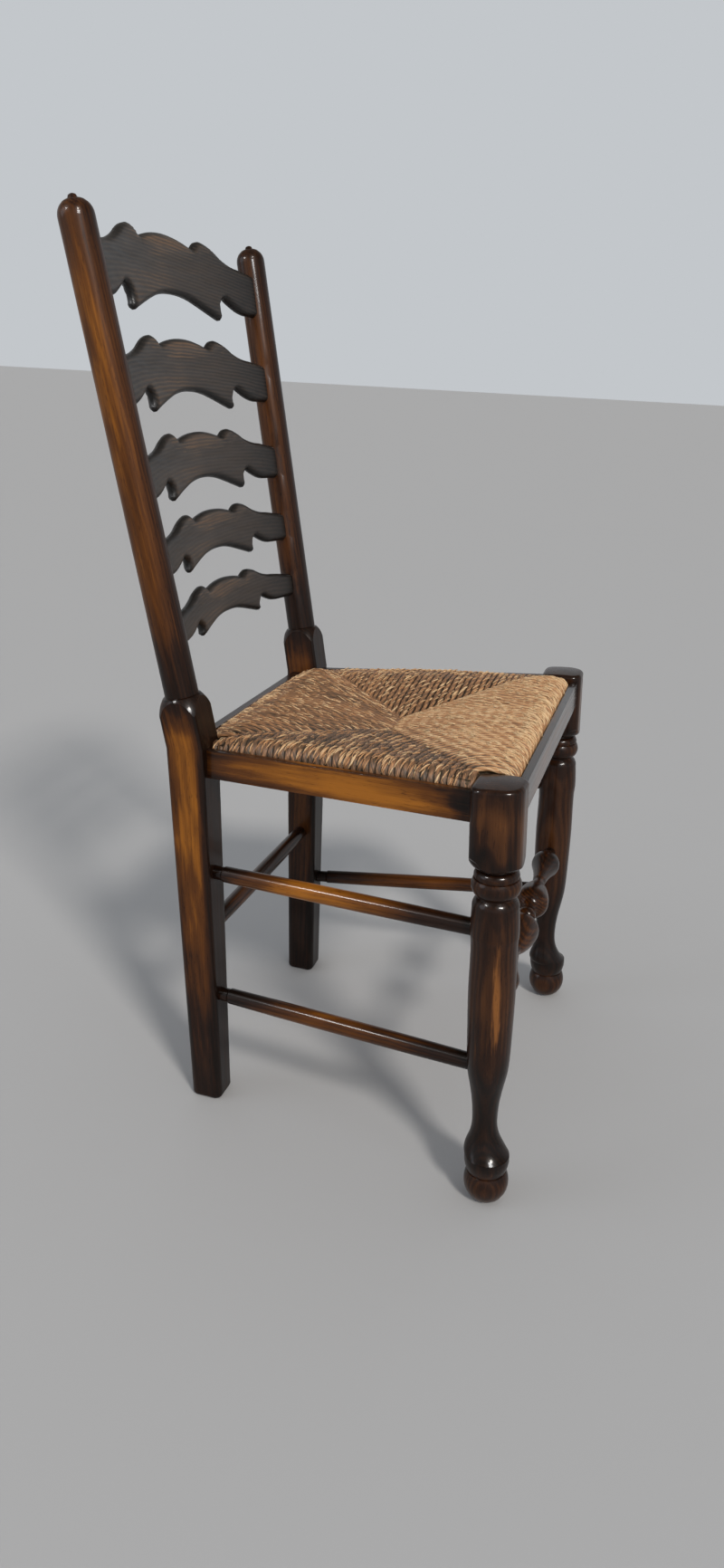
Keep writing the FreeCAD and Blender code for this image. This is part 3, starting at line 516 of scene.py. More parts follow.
@dataclass(frozen=True)
class PlainWood:
    """Softwood, sawn and left bare inside the seat: pale, with open streaks and no gloss.

    Attributes:
        name: the material's name.
        streaks_per_m: streaks to the metre along the grain and across it, so 83 mm by 3.8 mm each.
        pale: colour of the early wood.
        late: colour of the late wood.
    """

    name: str = "bare_softwood"
    streaks_per_m: Point3 = (12.0, 260.0, 260.0)
    pale: str = "#b08b5c"
    late: str = "#7c5630"

    def build(self) -> Material:
        """Build the material.

        Returns:
            The material.
        """
        mat = empty_material(self.name)
        tree = mat.node_tree
        coords = add_node(tree, "ShaderNodeTexCoord")
        drawn = add_node(tree, "ShaderNodeMapping", {
            "Vector": coords.outputs["Object"], "Scale": self.streaks_per_m})
        cells = add_node(tree, "ShaderNodeTexNoise", {
            "Vector": drawn.outputs["Vector"], "Scale": 1.0, "Detail": 4.0})
        colour = add_node(tree, "ShaderNodeValToRGB", {"Fac": cells.outputs["Fac"]},
                          [(0.3, self.late), (0.7, self.pale)])
        bump = add_node(tree, "ShaderNodeBump", {
            "Height": cells.outputs["Fac"], "Strength": 0.3, "Distance": 0.0005})
        shader = add_node(tree, "ShaderNodeBsdfPrincipled", {
            "Base Color": colour.outputs["Color"], "Roughness": 0.75, "Normal": bump.outputs["Normal"]})
        add_node(tree, "ShaderNodeOutputMaterial", {"Surface": shader.outputs["BSDF"]})
        return mat


@dataclass(frozen=True)
class BareSteel:
    """Wire-drawn steel of wood screws, dulled by age.

    Attributes:
        name: the material's name.
        spots_per_m: dull spots to the metre, so 1.1 mm each.
        colour: colour of the metal.
        gloss: least and greatest roughness.
    """

    name: str = "dull_drawn_steel"
    spots_per_m: float = 900.0
    colour: str = "#8b8780"
    gloss: Point2 = (0.3, 0.55)

    def build(self) -> Material:
        """Build the material.

        Returns:
            The material.
        """
        mat = empty_material(self.name)
        tree = mat.node_tree
        coords = add_node(tree, "ShaderNodeTexCoord")
        cells = add_node(tree, "ShaderNodeTexNoise", {
            "Vector": coords.outputs["Object"], "Scale": self.spots_per_m})
        low, high = self.gloss
        rough = add_node(tree, "ShaderNodeMapRange", {
            "Value": cells.outputs["Fac"], "To Min": low, "To Max": high})
        shader = add_node(tree, "ShaderNodeBsdfPrincipled", {
            "Base Color": linear(self.colour), "Metallic": 1.0, "Roughness": rough.outputs["Result"]})
        add_node(tree, "ShaderNodeOutputMaterial", {"Surface": shader.outputs["BSDF"]})
        return mat


@dataclass(frozen=True)
class TwistedRush:
    """Dried rush twisted by hand into cord and woven: long flat fibres wound at a slant, brown to gold.

    Where the fibre's waxy skin catches the light, short bright flecks are painted in as highlights, and the
    creases between cords are painted dark as shade.
    Real fibres are a third of a millimetre wide, too fine to show, so they are drawn 0.9 mm wide.

    Attributes:
        name: the material's name.
        fibre_mm: width of a fibre.
        fibre_run_mm: length of a fibre.
        fibre_spread: how much paler or darker a fibre is.
        fleck_size: size of a fleck, as shares of a fibre's length and width.
        fleck_span: from where to where in the noise a fleck fades in.
        fleck_highlight: how much paler a fleck is, as a painted highlight on the waxy skin.
        blotch_mm: length and width of an uneven patch.
        blotch: how much paler a patch may be.
        twist: slant of the fibres on the cord, in radians.
        crease_light: share of the paleness that is left in a crease, under its painted shade.
        crease: colour of the painted shade in the creases.
        shade: colour of the darkest fibres.
        body: colour of common fibres.
        warm: colour of pale fibres.
        skin: colour of the palest skin.
    """

    name: str = "twisted_rush"
    fibre_mm: float = 0.9
    fibre_run_mm: float = 13.0
    fibre_spread: float = 0.22
    fleck_size: Point2 = (0.8, 1.9)
    fleck_span: Point2 = (0.60, 0.72)
    fleck_highlight: float = 0.30
    blotch_mm: Point2 = (30.0, 5.0)
    blotch: float = 0.36
    twist: float = math.radians(22)
    crease_light: float = 0.08
    crease: str = "#15100b"
    shade: str = "#443626"
    body: str = "#8f6848"
    warm: str = "#c68f5e"
    skin: str = "#f0ce9f"

    def build(self) -> Material:
        """Build the material.

        The UV map holds metres along the cord and round it, tone how pale the cord is, with its panel's
        painted light, and open how far the surface stands out of the creases, which sets their painted shade.

        Returns:
            The material.
        """
        mat = empty_material(self.name)
        tree = mat.node_tree
        uv = add_node(tree, "ShaderNodeUVMap", uv_map="cord")
        turned = add_node(tree, "ShaderNodeMapping", {
            "Vector": uv.outputs["UV"], "Rotation": (0, 0, self.twist)}).outputs["Vector"]
        fibres = self.fibre(tree, turned, self.fibre_run_mm, self.fibre_mm)
        # Painted highlight: short bright flecks where the waxy skin would catch the light.
        long_share, wide_share = self.fleck_size
        flecks = self.fibre(tree, turned, self.fibre_run_mm * long_share, self.fibre_mm * wide_share)
        low, high = self.fleck_span
        bright = add_node(tree, "ShaderNodeMapRange", {
            "Value": flecks, "From Min": low, "From Max": high, "To Min": 0.0, "To Max": self.fleck_highlight})
        low, high = NOISE_RANGE
        spread = add_node(tree, "ShaderNodeMapRange", {
            "Value": fibres, "From Min": low, "From Max": high, "To Min": -self.fibre_spread,
            "To Max": self.fibre_spread})
        level = add_node(tree, "ShaderNodeAttribute", attribute_name="tone").outputs["Fac"]
        for share in (spread, bright):
            level = add_node(tree, "ShaderNodeMath", {
                0: level, 1: share.outputs["Result"]}, operation="ADD").outputs[0]
        mottled = add_node(tree, "ShaderNodeMath", {
            0: self.fibre(tree, uv.outputs["UV"], *self.blotch_mm), 1: self.blotch, 2: level},
            operation="MULTIPLY_ADD")
        centred = add_node(tree, "ShaderNodeMath", {
            0: mottled.outputs[0], 1: -self.blotch / 2}, operation="ADD")
        # Painted shade: the creases between cords and the valleys between strands are drawn darker.
        crease_shade_mask = add_node(tree, "ShaderNodeAttribute", attribute_name="open")
        crease_shade = add_node(tree, "ShaderNodeMapRange", {
            "Value": crease_shade_mask.outputs["Fac"], "To Min": self.crease_light, "To Max": 1.0})
        shaded = add_node(tree, "ShaderNodeMath", {
            0: centred.outputs[0], 1: crease_shade.outputs["Result"]}, operation="MULTIPLY", use_clamp=True)
        colour = add_node(tree, "ShaderNodeValToRGB", {"Fac": shaded.outputs[0]},
                          [(0.0, self.crease), (0.22, self.shade), (0.46, self.body), (0.7, self.warm),
                           (1.0, self.skin)])
        rough = add_node(tree, "ShaderNodeMapRange", {"Value": fibres, "To Min": 0.65, "To Max": 0.4})
        bump = add_node(tree, "ShaderNodeBump", {"Height": fibres, "Strength": 0.8, "Distance": 0.0006})
        shader = add_node(tree, "ShaderNodeBsdfPrincipled", {
            "Base Color": colour.outputs["Color"], "Roughness": rough.outputs["Result"], "IOR": 1.4,
            "Normal": bump.outputs["Normal"]})
        add_node(tree, "ShaderNodeOutputMaterial", {"Surface": shader.outputs["BSDF"]})
        return mat

    @staticmethod
    def fibre(tree: NodeTree, vector: NodeSocket, run_mm: float, width_mm: float) -> NodeSocket:
        """Return noise in cells of this length and width.

        Args:
            tree: the material's node tree.
            vector: coordinates in metres, x along the cells.
            run_mm: length of a cell.
            width_mm: width of a cell.

        Returns:
            The noise, mostly within NOISE_RANGE.
        """
        drawn = add_node(tree, "ShaderNodeMapping", {
            "Vector": vector, "Scale": (MM_PER_M / run_mm, MM_PER_M / width_mm, 1)})
        cells = add_node(tree, "ShaderNodeTexNoise", {
            "Vector": drawn.outputs["Vector"], "Scale": 1.0, "Detail": 2.0, "Roughness": 0.6})
        return cells.outputs["Fac"]


@dataclass(frozen=True)
class RushFill:
    """Loose dry rush packed between the layers: matt and tangled, its colours painted dark as the shade it
    lies in.

    Attributes:
        name: the material's name.
        tangles_per_m: tangles to the metre, so 3.1 mm each.
        deep: colour deep in the tangle, in painted shade.
        top: colour on top of it.
    """

    name: str = "packed_rush"
    tangles_per_m: float = 320.0
    deep: str = "#241a0e"
    top: str = "#6b5432"

    def build(self) -> Material:
        """Build the material.

        Returns:
            The material.
        """
        mat = empty_material(self.name)
        tree = mat.node_tree
        coords = add_node(tree, "ShaderNodeTexCoord")
        cells = add_node(tree, "ShaderNodeTexNoise", {
            "Vector": coords.outputs["Object"], "Scale": self.tangles_per_m, "Detail": 3.0,
            "Distortion": 2.0})
        colour = add_node(tree, "ShaderNodeValToRGB", {"Fac": cells.outputs["Fac"]},
                          [(0.3, self.deep), (0.75, self.top)])
        bump = add_node(tree, "ShaderNodeBump", {"Height": cells.outputs["Fac"], "Distance": 0.001})
        shader = add_node(tree, "ShaderNodeBsdfPrincipled", {
            "Base Color": colour.outputs["Color"], "Roughness": 0.85, "Normal": bump.outputs["Normal"]})
        add_node(tree, "ShaderNodeOutputMaterial", {"Surface": shader.outputs["BSDF"]})
        return mat


def dress(piece: Object, material: Material) -> None:
    """Give a piece this one material."""
    piece.data.materials.clear()
    piece.data.materials.append(material)


def register(piece: Object, body: Body, slot: Slot, stands_for: str) -> None:
    """Tie a new piece to its body, and hide the solid that it stands for.

    Args:
        piece: the finished object, at the origin.
        body: the rigid body that it moves with.
        slot: the record's material slot; not used.
        stands_for: name of the solid that it takes the place of, alone or with others.
    """
    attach(piece, body.value)
    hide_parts(stands_for)
    LOG.info("%s: %d faces", piece.name, len(piece.data.polygons))


def solid_copy(node: str) -> BMesh:
    """Copy a solid's mesh and merge its loose triangles.

    Args:
        node: the solid's name.

    Returns:
        The copy, in metres on the floor's axes.
    """
    bm = bmesh.new()
    bm.from_mesh(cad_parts[node].data)
    bmesh.ops.remove_doubles(bm, verts=bm.verts, dist=MERGE_SOLID_M)
    return bm


def finish_mesh(bm: BMesh, name: str, merge: bool = True, turn_out: bool = True) -> Object:
    """Turn a finished bmesh into an object at the origin.

    Args:
        bm: the mesh, in metres on the floor's axes. It is freed.
        name: the piece's name.
        merge: whether its doubled points are merged.
        turn_out: whether its faces are turned outwards; a hollow body keeps its own, which are right.

    Returns:
        The new object, linked to the scene.
    """
    if merge:
        bmesh.ops.remove_doubles(bm, verts=bm.verts, dist=MERGE_NEW_M)
    if turn_out:
        bmesh.ops.recalc_face_normals(bm, faces=bm.faces)
    for face in bm.faces:
        face.smooth = True
    mesh = bpy.data.meshes.new(name)
    bm.to_mesh(mesh)
    bm.free()
    piece = bpy.data.objects.new(name, mesh)
    bpy.context.scene.collection.objects.link(piece)
    return piece


def soften(piece: Object, width_mm: float, segments: int = 3, angle: float = 38.0) -> None:
    """Round a piece's sharp edges with live modifiers.

    Args:
        piece: the piece.
        width_mm: how wide the rounding is.
        segments: how many faces it has across.
        angle: the least angle in degrees of an edge that is rounded.
    """
    bevel = piece.modifiers.new("worn_edges", "BEVEL")
    bevel.width = width_mm / MM_PER_M
    bevel.segments = segments
    bevel.limit_method = "ANGLE"
    bevel.angle_limit = math.radians(angle)
    bevel.use_clamp_overlap = True
    weighted = piece.modifiers.new("even_shading", "WEIGHTED_NORMAL")
    weighted.keep_sharp = False
    weighted.weight = 80


def arc_points(a: Point2, b: Point2, c: Point2, count: int) -> Iterator[Point2]:
    """Yield points along the arc from a through b to c, without its first point.

    Args:
        a: start.
        b: a point on the way.
        c: end. Where the three lie in line, the points do too.
        count: how many points.

    Yields:
        The points in order.
    """
    ax, ay, bx, by, cx, cy = *a, *b, *c
    d = 2 * (ax * (by - cy) + bx * (cy - ay) + cx * (ay - by))
    if abs(d) < 1e-9:
        yield from ((ax + (cx - ax) * k / count, ay + (cy - ay) * k / count) for k in range(1, count + 1))
        return
    aa, bb, cc = ax * ax + ay * ay, bx * bx + by * by, cx * cx + cy * cy
    ux = (aa * (by - cy) + bb * (cy - ay) + cc * (ay - by)) / d
    uy = (aa * (cx - bx) + bb * (ax - cx) + cc * (bx - ax)) / d
    r = math.hypot(ax - ux, ay - uy)
    start = math.atan2(ay - uy, ax - ux)
    middle = (math.atan2(by - uy, bx - ux) - start) % math.tau
    sweep = (math.atan2(cy - uy, cx - ux) - start) % math.tau
    if middle > sweep:
        sweep -= math.tau
    for k in range(1, count + 1):
        t = start + sweep * k / count
        yield (ux + r * math.cos(t), uy + r * math.sin(t))


def round_joint(points: list[Point2], index: int, reach: float, steps: int = 6) -> None:
    """Round an outline's corner in place with a parabola.

    Args:
        points: the open outline.
        index: the corner's place in it.
        reach: how far from the corner the rounding starts, each way.
        steps: how many pieces the rounding has.
    """
    ends = []
    corner = Vector(points[index])
    for step in (-1, 1):
        k, left = index, reach
        while (Vector(points[k + step]) - Vector(points[k])).length < left:
            left -= (Vector(points[k + step]) - Vector(points[k])).length
            k += step
        start, onward = Vector(points[k]), Vector(points[k + step])
        ends.append((k, start + (onward - start).normalized() * left))
    (first, a), (last, b) = ends
    shares = [k / steps for k in range(steps + 1)]
    curve = [a * (1 - t) ** 2 + corner * 2 * t * (1 - t) + b * t ** 2 for t in shares]
    points[first:last + 1] = [tuple(p) for p in curve]


@dataclass
class Uprights:
    """The turned front legs and the two rear posts, shaped in the solids and stained here.

    Attributes:
        front_x: how far a front leg stands from the middle.
        post_foot: foot of the left post's middle line.
        post_knee: where that line bends, at the seat.
        post_tip: its top.
        block_mm: width and depth of a front leg's square block.
        post_mm: width and depth of a post's square part.
        post_tones: how far each post's bands of wear are scaled; the left post is drawn darker.
        leg_turned: from where to where the front legs are turned.
        post_turned: from where to where the posts are.
        leg_bands: wear of the stain up a front leg.
        post_bands: wear of the stain up a post.
        rubbed: middle and half sizes of the rubbed patch on the right front leg.
    """

    front_x: float = 217.0
    post_foot: Point3 = (157.0, 352.0, 0.0)
    post_knee: Point3 = (172.5, 337.0, 470.0)
    post_tip: Point3 = (196.0, 406.3, 986.6)
    block_mm: Point2 = (50.0, 50.0)
    post_mm: Point2 = (42.0, 42.0)
    post_tones: dict[str, float] = field(default_factory=lambda: {"right": 1.0, "left": 0.68})
    leg_turned: Point2 = (-20.0, 392.0)
    post_turned: Point2 = (524.0, 1010.0)
    leg_bands: Bands = ((0, 0.34), (26, 0.32), (44, 0.08), (70, 0.08), (140, 0.10), (195, 0.24), (270, 0.36),
                        (335, 0.30), (352, 0.18), (366, 0.14), (382, 0.32), (394, 0.12), (408, 0.42),
                        (440, 0.58), (466, 0.34), (478, 0.20))
    post_bands: Bands = ((0, 0.16), (110, 0.22), (200, 0.42), (290, 0.66), (390, 0.86), (480, 0.84),
                         (510, 0.40), (528, 0.08), (560, 0.22), (610, 0.50), (700, 0.62), (800, 0.70),
                         (900, 0.72), (960, 0.52), (987, 0.28))
    rubbed: tuple[Point3, Point3] = ((-23.0, -8.0, 250.0), (13.0, 6.0, 84.0))

    def dress(self) -> None:
        """Stain the legs and posts."""
        up, across = AXES.direction(0, 0, 1), AXES.direction(1, 0, 0)
        for side, sign in (("right", -1), ("left", 1)):
            line = tuple((sign * x, y, z) for x, y, z in (self.post_foot, self.post_knee, self.post_tip))
            leg = PolishedWood(f"stained_turned_leg_{side}", up, across,
                               AXES.point(sign * self.front_x, 0, 0), self.leg_bands,
                               section_mm=self.block_mm, pith_mm=(-58.0 * sign, 8.0),
                               pith_tilt=(0.0, 0.045), ring_mm=4.6, figure=0.12, streaks=0.08, clouds=0.2,
                               turned=self.leg_turned, warm="#5b371b", light="#9c6430",
                               patch=self.rubbed if side == "right" else None)
            dress(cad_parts[f"front_leg_{side}"], leg.build())
            bands = tuple((at, tone * self.post_tones[side]) for at, tone in self.post_bands)
            post = PolishedWood(f"stained_post_{side}", up, across, AXES.point(*line[0]),
                                bands, axis=line, section_mm=self.post_mm,
                                pith_mm=(64.0 * sign, 30.0), pith_tilt=(0.02, 0.03), ring_mm=3.0,
                                streaks=0.15, clouds=0.22, turned=self.post_turned, gloss=0.32, coat=0.24,
                                # Painted shade: the post's front face is drawn darker.
                                edge_wear=0.5, thick=(0.0, -1.0, 14.0, 23.0))
            dress(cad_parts[f"rear_post_{side}"], post.build())
        LOG.info("uprights stained")


@dataclass
class SeatRails:
    """The four rebated seat rails, with the worn edges that the plain solids leave out.

    Attributes:
        edge_mm: how wide their edges are rounded.
        flat_degrees: faces that turn by less than this are one face.
        section_mm: height and thickness of a rail.
        side_run: direction of the left side rail, inwards and to the back.
        side_middle: its middle.
        cross_middles: the other two rails' middles.
        side_bands: wear of the stain along a side rail, from front to back.
        cross_bands: wear of the stain along the other two.
        lip: direction towards the top lip, and from where to where painted shade darkens it.
        coats: how thick the polish is on the front rail, and on the others.
    """

    edge_mm: float = 1.1
    flat_degrees: float = 0.6
    section_mm: Point2 = (31.0, 22.0)
    side_run: Point2 = (43.0, 293.0)
    side_middle: Point3 = (197.0, 168.0, 453.5)
    cross_middles: dict[str, Point3] = field(default_factory=lambda: {
        "front_rail": (0.0, -10.0, 453.5), "back_rail": (0.0, 338.0, 453.5)})
    side_bands: Bands = ((-175, 0.06), (-146, 0.20), (-118, 0.80), (-70, 1.0), (40, 0.96), (100, 0.78),
                         (138, 0.44), (175, 0.16))
    cross_bands: Bands = ((-200, 0.10), (-100, 0.40), (0, 0.50), (100, 0.40), (200, 0.10))
    # Painted shade: the top lip is drawn darker.
    lip: tuple[float, float, float, float] = (1.0, 0.0, 17.0, 19.5)
    coats: Point2 = (0.75, 0.30)

    def build(self) -> None:
        """Build and stain the four rails."""
        (inwards, back), (x, y, z) = self.side_run, self.side_middle
        for side, sign in (("right", -1), ("left", 1)):
            grain = AXES.direction(-sign * inwards, back, 0)
            self.rail(f"side_rail_{side}", grain, AXES.point(sign * x, y, z), self.side_bands)
        for node, middle in self.cross_middles.items():
            self.rail(node, AXES.direction(1, 0, 0), AXES.point(*middle), self.cross_bands)

    def rail(self, node: str, grain: Vector, centre: Vector, bands: Bands) -> None:
        """Copy one rail's solid, round its edges and stain it.

        Args:
            node: the solid's name.
            grain: direction of the grain.
            centre: middle of the rail, in metres.
            bands: wear of the stain along the grain.
        """
        bm = solid_copy(node)
        bmesh.ops.dissolve_limit(bm, angle_limit=math.radians(self.flat_degrees), verts=bm.verts,
                                 edges=bm.edges)
        piece = finish_mesh(bm, f"{node}_worn")
        soften(piece, self.edge_mm)
        finish = PolishedWood(f"stained_{node}", grain, AXES.direction(0, 0, 1), centre, bands,
                              section_mm=self.section_mm, ring_mm=5.5, pith_mm=(12.0, 60.0),
                              pith_tilt=(0.02, 0.03), thick=self.lip, edge_wear=0.6,
                              coat=self.coats[node != "front_rail"])
        dress(piece, finish.build())
        register(piece, Body.FRAME, Slot.POLISHED, node)


@dataclass
class Stretchers:
    """Side, back and turned front stretchers, shaped in the solids and stained here.

    Attributes:
        side_run: direction of the left side stretchers, outwards and to the front.
        side_middle: how far their middle lies to the side and to the back.
        heights: height of the upper and of the lower pair.
        cross_middles: depth and height of the other two.
        upper_bands: wear of the stain along an upper side stretcher, from back to front.
        lower_bands: wear along a lower one.
        cross_bands: wear along the other two.
    """

    side_run: Point2 = (48.0, 330.0)
    side_middle: Point2 = (192.0, 170.0)
    heights: Point2 = (322.5, 164.5)
    cross_middles: dict[str, Point2] = field(default_factory=lambda: {
        "back_stretcher": (344.0, 239.5), "front_stretcher": (3.0, 231.0)})
    upper_bands: Bands = ((-175, 0.03), (-140, 0.10), (-90, 0.48), (-20, 1.0), (40, 0.74), (100, 0.20),
                          (175, 0.05))
    lower_bands: Bands = ((-175, 0.02), (-130, 0.10), (-70, 0.42), (0, 0.62), (60, 0.36), (120, 0.08),
                          (175, 0.02))
    cross_bands: Bands = ((-200, 0.05), (-90, 0.25), (0, 0.35), (90, 0.25), (200, 0.05))

    def dress(self) -> None:
        """Stain the six stretchers."""
        up, across = AXES.direction(0, 0, 1), AXES.direction(1, 0, 0)
        (outwards, front), (x, y) = self.side_run, self.side_middle
        for side, sign in (("right", -1), ("left", 1)):
            grain = AXES.direction(sign * outwards, -front, 0)
            for name, z, bands in zip(("upper", "lower"), self.heights, (self.upper_bands, self.lower_bands)):
                finish = PolishedWood(f"stained_{name}_stretcher_{side}", grain, up,
                                      AXES.point(sign * x, y, z), bands, ring_mm=2.6, pith_mm=(14.0, 9.0))
                dress(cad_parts[f"{name}_stretcher_{side}"], finish.build())
        for node, (back, height) in self.cross_middles.items():
            finish = PolishedWood(f"stained_{node}", across, up, AXES.point(0, back, height),
                                  self.cross_bands, ring_mm=3.0, figure=0.16)
            dress(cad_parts[node], finish.build())
        LOG.info("stretchers stained")


@dataclass
class Slats:
    """The five shaped slats, bowed to the sitter's back.

    Each is the top one's outline, drawn narrower and lower. An arc is the x and height of a point on its
    way and of its end, and how far its end's corner is rounded.

    Attributes:
        tips: height of each slat's lowest point up the posts.
        heights: how tall each slat's face is.
        widths: stretch of each slat's outline across the chair.
        thickness: thickness of a slat.
        bow: how far its middle lies behind its ends.
        bow_half: half the width that it is bowed over.
        posts: the posts that hold the slats.
        into_post: how far a slat reaches past a post's middle line.
        edge_mm: how wide its rims are rounded.
        first_ring_mm: width of the first ring of faces along the rim.
        slice_mm: width of its faces across the chair.
        row_mm: height of its faces.
        merge_mm: a cut nearer to a point than this goes through it.
        rim_step: distance between the points that stand for the rim.
        crown_top: height of the outline's middle.
        upper_arcs: the upper edge, from the middle to the side.
        lower_arcs: the lower edge, from the side to the middle.
        arc_steps: how many pieces an upper and a lower arc have.
        tab: where the lower edge of the end in the post stops.
        tab_ease: how far that corner is rounded.
        tab_slopes: how the end's upper and lower edge fall towards the post.
        bands: wear of the stain along a slat.
        figures: strength of each slat's growth rings.
        ring_mm: width of a growth ring.
        pith_mm: where the top slat's rings have their middle.
        pith_step: how much nearer it is in each next slat.
        pith_tilt: how far it is out of true in the top slat.
        tilt_step: how much less so in each next one.
        crest_half: half height, depth and length of the worn patch along the crest.
        crest_wear: how much thinner the stain is there.
    """

    tips: tuple[float, ...] = (898.5, 802.0, 712.5, 636.5, 566.5)
    heights: tuple[float, ...] = (79.0, 72.5, 66.0, 58.0, 51.0)
    widths: tuple[float, ...] = (1.0, 0.945, 0.89, 0.835, 0.78)
    thickness: float = 12.0
    bow: float = 18.0
    bow_half: float = 178.0
    posts: Uprights = field(default_factory=Uprights)
    into_post: float = 1.0
    edge_mm: float = 4.5
    first_ring_mm: float = 1.1
    slice_mm: float = 4.0
    row_mm: float = 2.5
    merge_mm: float = 0.02
    rim_step: float = 0.4
    crown_top: float = 82.3
    upper_arcs: tuple[Arc, ...] = ((33, 79.6, 61, 72.8, 3), (69, 79.8, 84, 82.4, 0),
                                   (99, 78.4, 114, 71.0, 0), (134, 63.0, 158, 58.2, 0))
    lower_arcs: tuple[Arc, ...] = ((133.3, 15.6, 116, 25.4, 0), (104.2, 18.0, 102.2, 9.0, 3),
                                   (103.0, 3.6, 99, 0.6, 2.0), (77, 8.0, 56, 14.8, 14),
                                   (30, 21.0, 0, 23.2, 0))
    arc_steps: tuple[int, int] = (12, 10)
    tab: Point2 = (152.0, 8.4)
    tab_ease: float = 9.0
    tab_slopes: Point2 = (-0.211, -0.069)
    bands: Bands = ((-190, 0.12), (-150, 0.30), (-60, 0.48), (0, 0.56), (60, 0.48), (150, 0.30), (190, 0.12))
    figures: tuple[float, ...] = (0.26, 0.30, 0.16, 0.14, 0.14)
    ring_mm: float = 3.2
    pith_mm: Point2 = (74.0, 30.0)
    pith_step: float = 5.0
    pith_tilt: Point2 = (0.02, 0.06)
    tilt_step: float = 0.03
    crest_half: Point3 = (26.0, 80.0, 118.0)
    crest_wear: float = 0.24

    def outline(self, width: float, scale: float, reach: float) -> list[Point2]:
        """Return the closed outline of one slat as (x, height) points, anticlockwise from the front.

        Args:
            width: stretch of the pattern across the chair.
            scale: stretch of the pattern's height.
            reach: how far from the middle the slat ends, inside the post.

        Returns:
            The outline's points.
        """
        half: list[Point2] = [(0.0, self.crown_top)]
        joints: list[tuple[int, float]] = []
        upper_steps, lower_steps = self.arc_steps
        for *middle, x, z, ease in self.upper_arcs:
            half.extend(arc_points(half[-1], tuple(middle), (x, z), upper_steps))
            joints.append((len(half) - 1, ease))
        end = reach / width
        (last_x, last_z), (tab_x, tab_z), (fall, under_fall) = half[-1], self.tab, self.tab_slopes
        half += [(end, last_z + fall * (end - last_x)), (end, tab_z + under_fall * (end - tab_x)), self.tab]
        joints.append((len(half) - 1, self.tab_ease))
        for *middle, x, z, ease in self.lower_arcs:
            half.extend(arc_points(half[-1], tuple(middle), (x, z), lower_steps))
            joints.append((len(half) - 1, ease))
        for index, ease in reversed(joints):
            if ease:
                round_joint(half, index, ease)
        scaled = [(x * width, z * scale) for x, z in half]
        return scaled + [(-x, z) for x, z in reversed(scaled[1:-1])]

    def build(self) -> None:
        """Build and stain the five slats."""
        for index in range(len(self.tips)):
            self.slat(index)

    def blank(self, outline: list[Point2]) -> BMesh:
        """Cut one flat slat: half its thickness as a sheet, rounded over towards its rim, then mirrored.

        Args:
            outline: the closed outline.

        Returns:
            The mesh in millimetres, with how far each point lies from the rim in its layer "rim".
        """
        bm = bmesh.new()
        face = bm.faces.new([bm.verts.new((x, 0.0, z)) for x, z in outline])
        bmesh.ops.inset_region(bm, faces=[face], thickness=self.first_ring_mm, use_boundary=True,
                               use_even_offset=True)
        for axis, step in ((0, self.slice_mm), (1, self.row_mm)):
            low, high = min(p[axis] for p in outline), max(p[axis] for p in outline)
            normal = ((1, 0, 0), (0, 0, 1))[axis]
            for k in range(1, math.ceil((high - low) / step)):
                bmesh.ops.bisect_plane(bm, geom=bm.verts[:] + bm.edges[:] + bm.faces[:],
                                       dist=self.merge_mm, plane_co=Vector(normal) * (low + step * k),
                                       plane_no=normal)
        near = self.rim_points(outline)
        rim = bm.verts.layers.float.new("rim")
        for vert in bm.verts:
            away = 0.0 if vert.is_boundary else near.find(vert.co)[2]
            vert[rim] = away
            vert.co.y = self.edge_mm * (1 - math.sin(math.pi / 2 * min(1.0, away / self.edge_mm)))
        bmesh.ops.translate(bm, verts=bm.verts, vec=(0, -self.thickness / 2, 0))
        grown = bmesh.ops.extrude_face_region(bm, geom=bm.faces[:])
        for vert in (v for v in grown["geom"] if isinstance(v, BMVert)):
            vert.co.y = -vert.co.y
        # The extrusion adds the rim's faces in no fixed order, so they are put in one.
        for place, face in enumerate(sorted(bm.faces, key=lambda face: face.calc_center_median()[:])):
            face.index = place
        bm.faces.sort()
        return bm

    def rim_points(self, outline: list[Point2]) -> kdtree.KDTree:
        """Return a search tree of close points along the rim.

        Args:
            outline: the closed outline.

        Returns:
            The tree, in the blank's own millimetres.
        """
        points = []
        for (ax, az), (bx, bz) in zip(outline, outline[1:] + outline[:1]):
            count = max(1, math.ceil(math.hypot(bx - ax, bz - az) / self.rim_step))
            points += [(ax + (bx - ax) * k / count, 0.0, az + (bz - az) * k / count) for k in range(count)]
        tree = kdtree.KDTree(len(points))
        for k, point in enumerate(points):
            tree.insert(point, k)
        tree.balance()
        return tree

    def slat(self, index: int) -> None:
        """Build one slat: its blank is bowed, set between the posts and stained.

        Args:
            index: 0 for the top slat.
        """
        knee, tip = self.posts.post_knee, self.posts.post_tip
        share = (self.tips[index] - knee[2]) / (tip[2] - knee[2])
        post_x = knee[0] + (tip[0] - knee[0]) * share
        axis_y = knee[1] + (tip[1] - knee[1]) * share
        rake = math.atan2(tip[1] - knee[1], tip[2] - knee[2])
        bm = self.blank(self.outline(self.widths[index], self.heights[index] / self.heights[0],
                                     post_x + self.into_post))
        radius = (self.bow_half ** 2 + self.bow ** 2) / (2 * self.bow)
        for vert in bm.verts:
            lift = math.sqrt((radius + vert.co.y) ** 2 - vert.co.x ** 2) - radius
            vert.co.y = self.bow + lift
        place = Matrix.Translation((0, axis_y, self.tips[index]))
        bmesh.ops.transform(bm, matrix=AXES.matrix() @ place @ Matrix.Rotation(-rake, 4, "X"), verts=bm.verts)
        piece = finish_mesh(bm, f"slat_{index + 1}_shaped")
        dress(piece, self.finish(index, axis_y).build())
        register(piece, Body.FRAME, Slot.POLISHED, f"slat_{index + 1}")

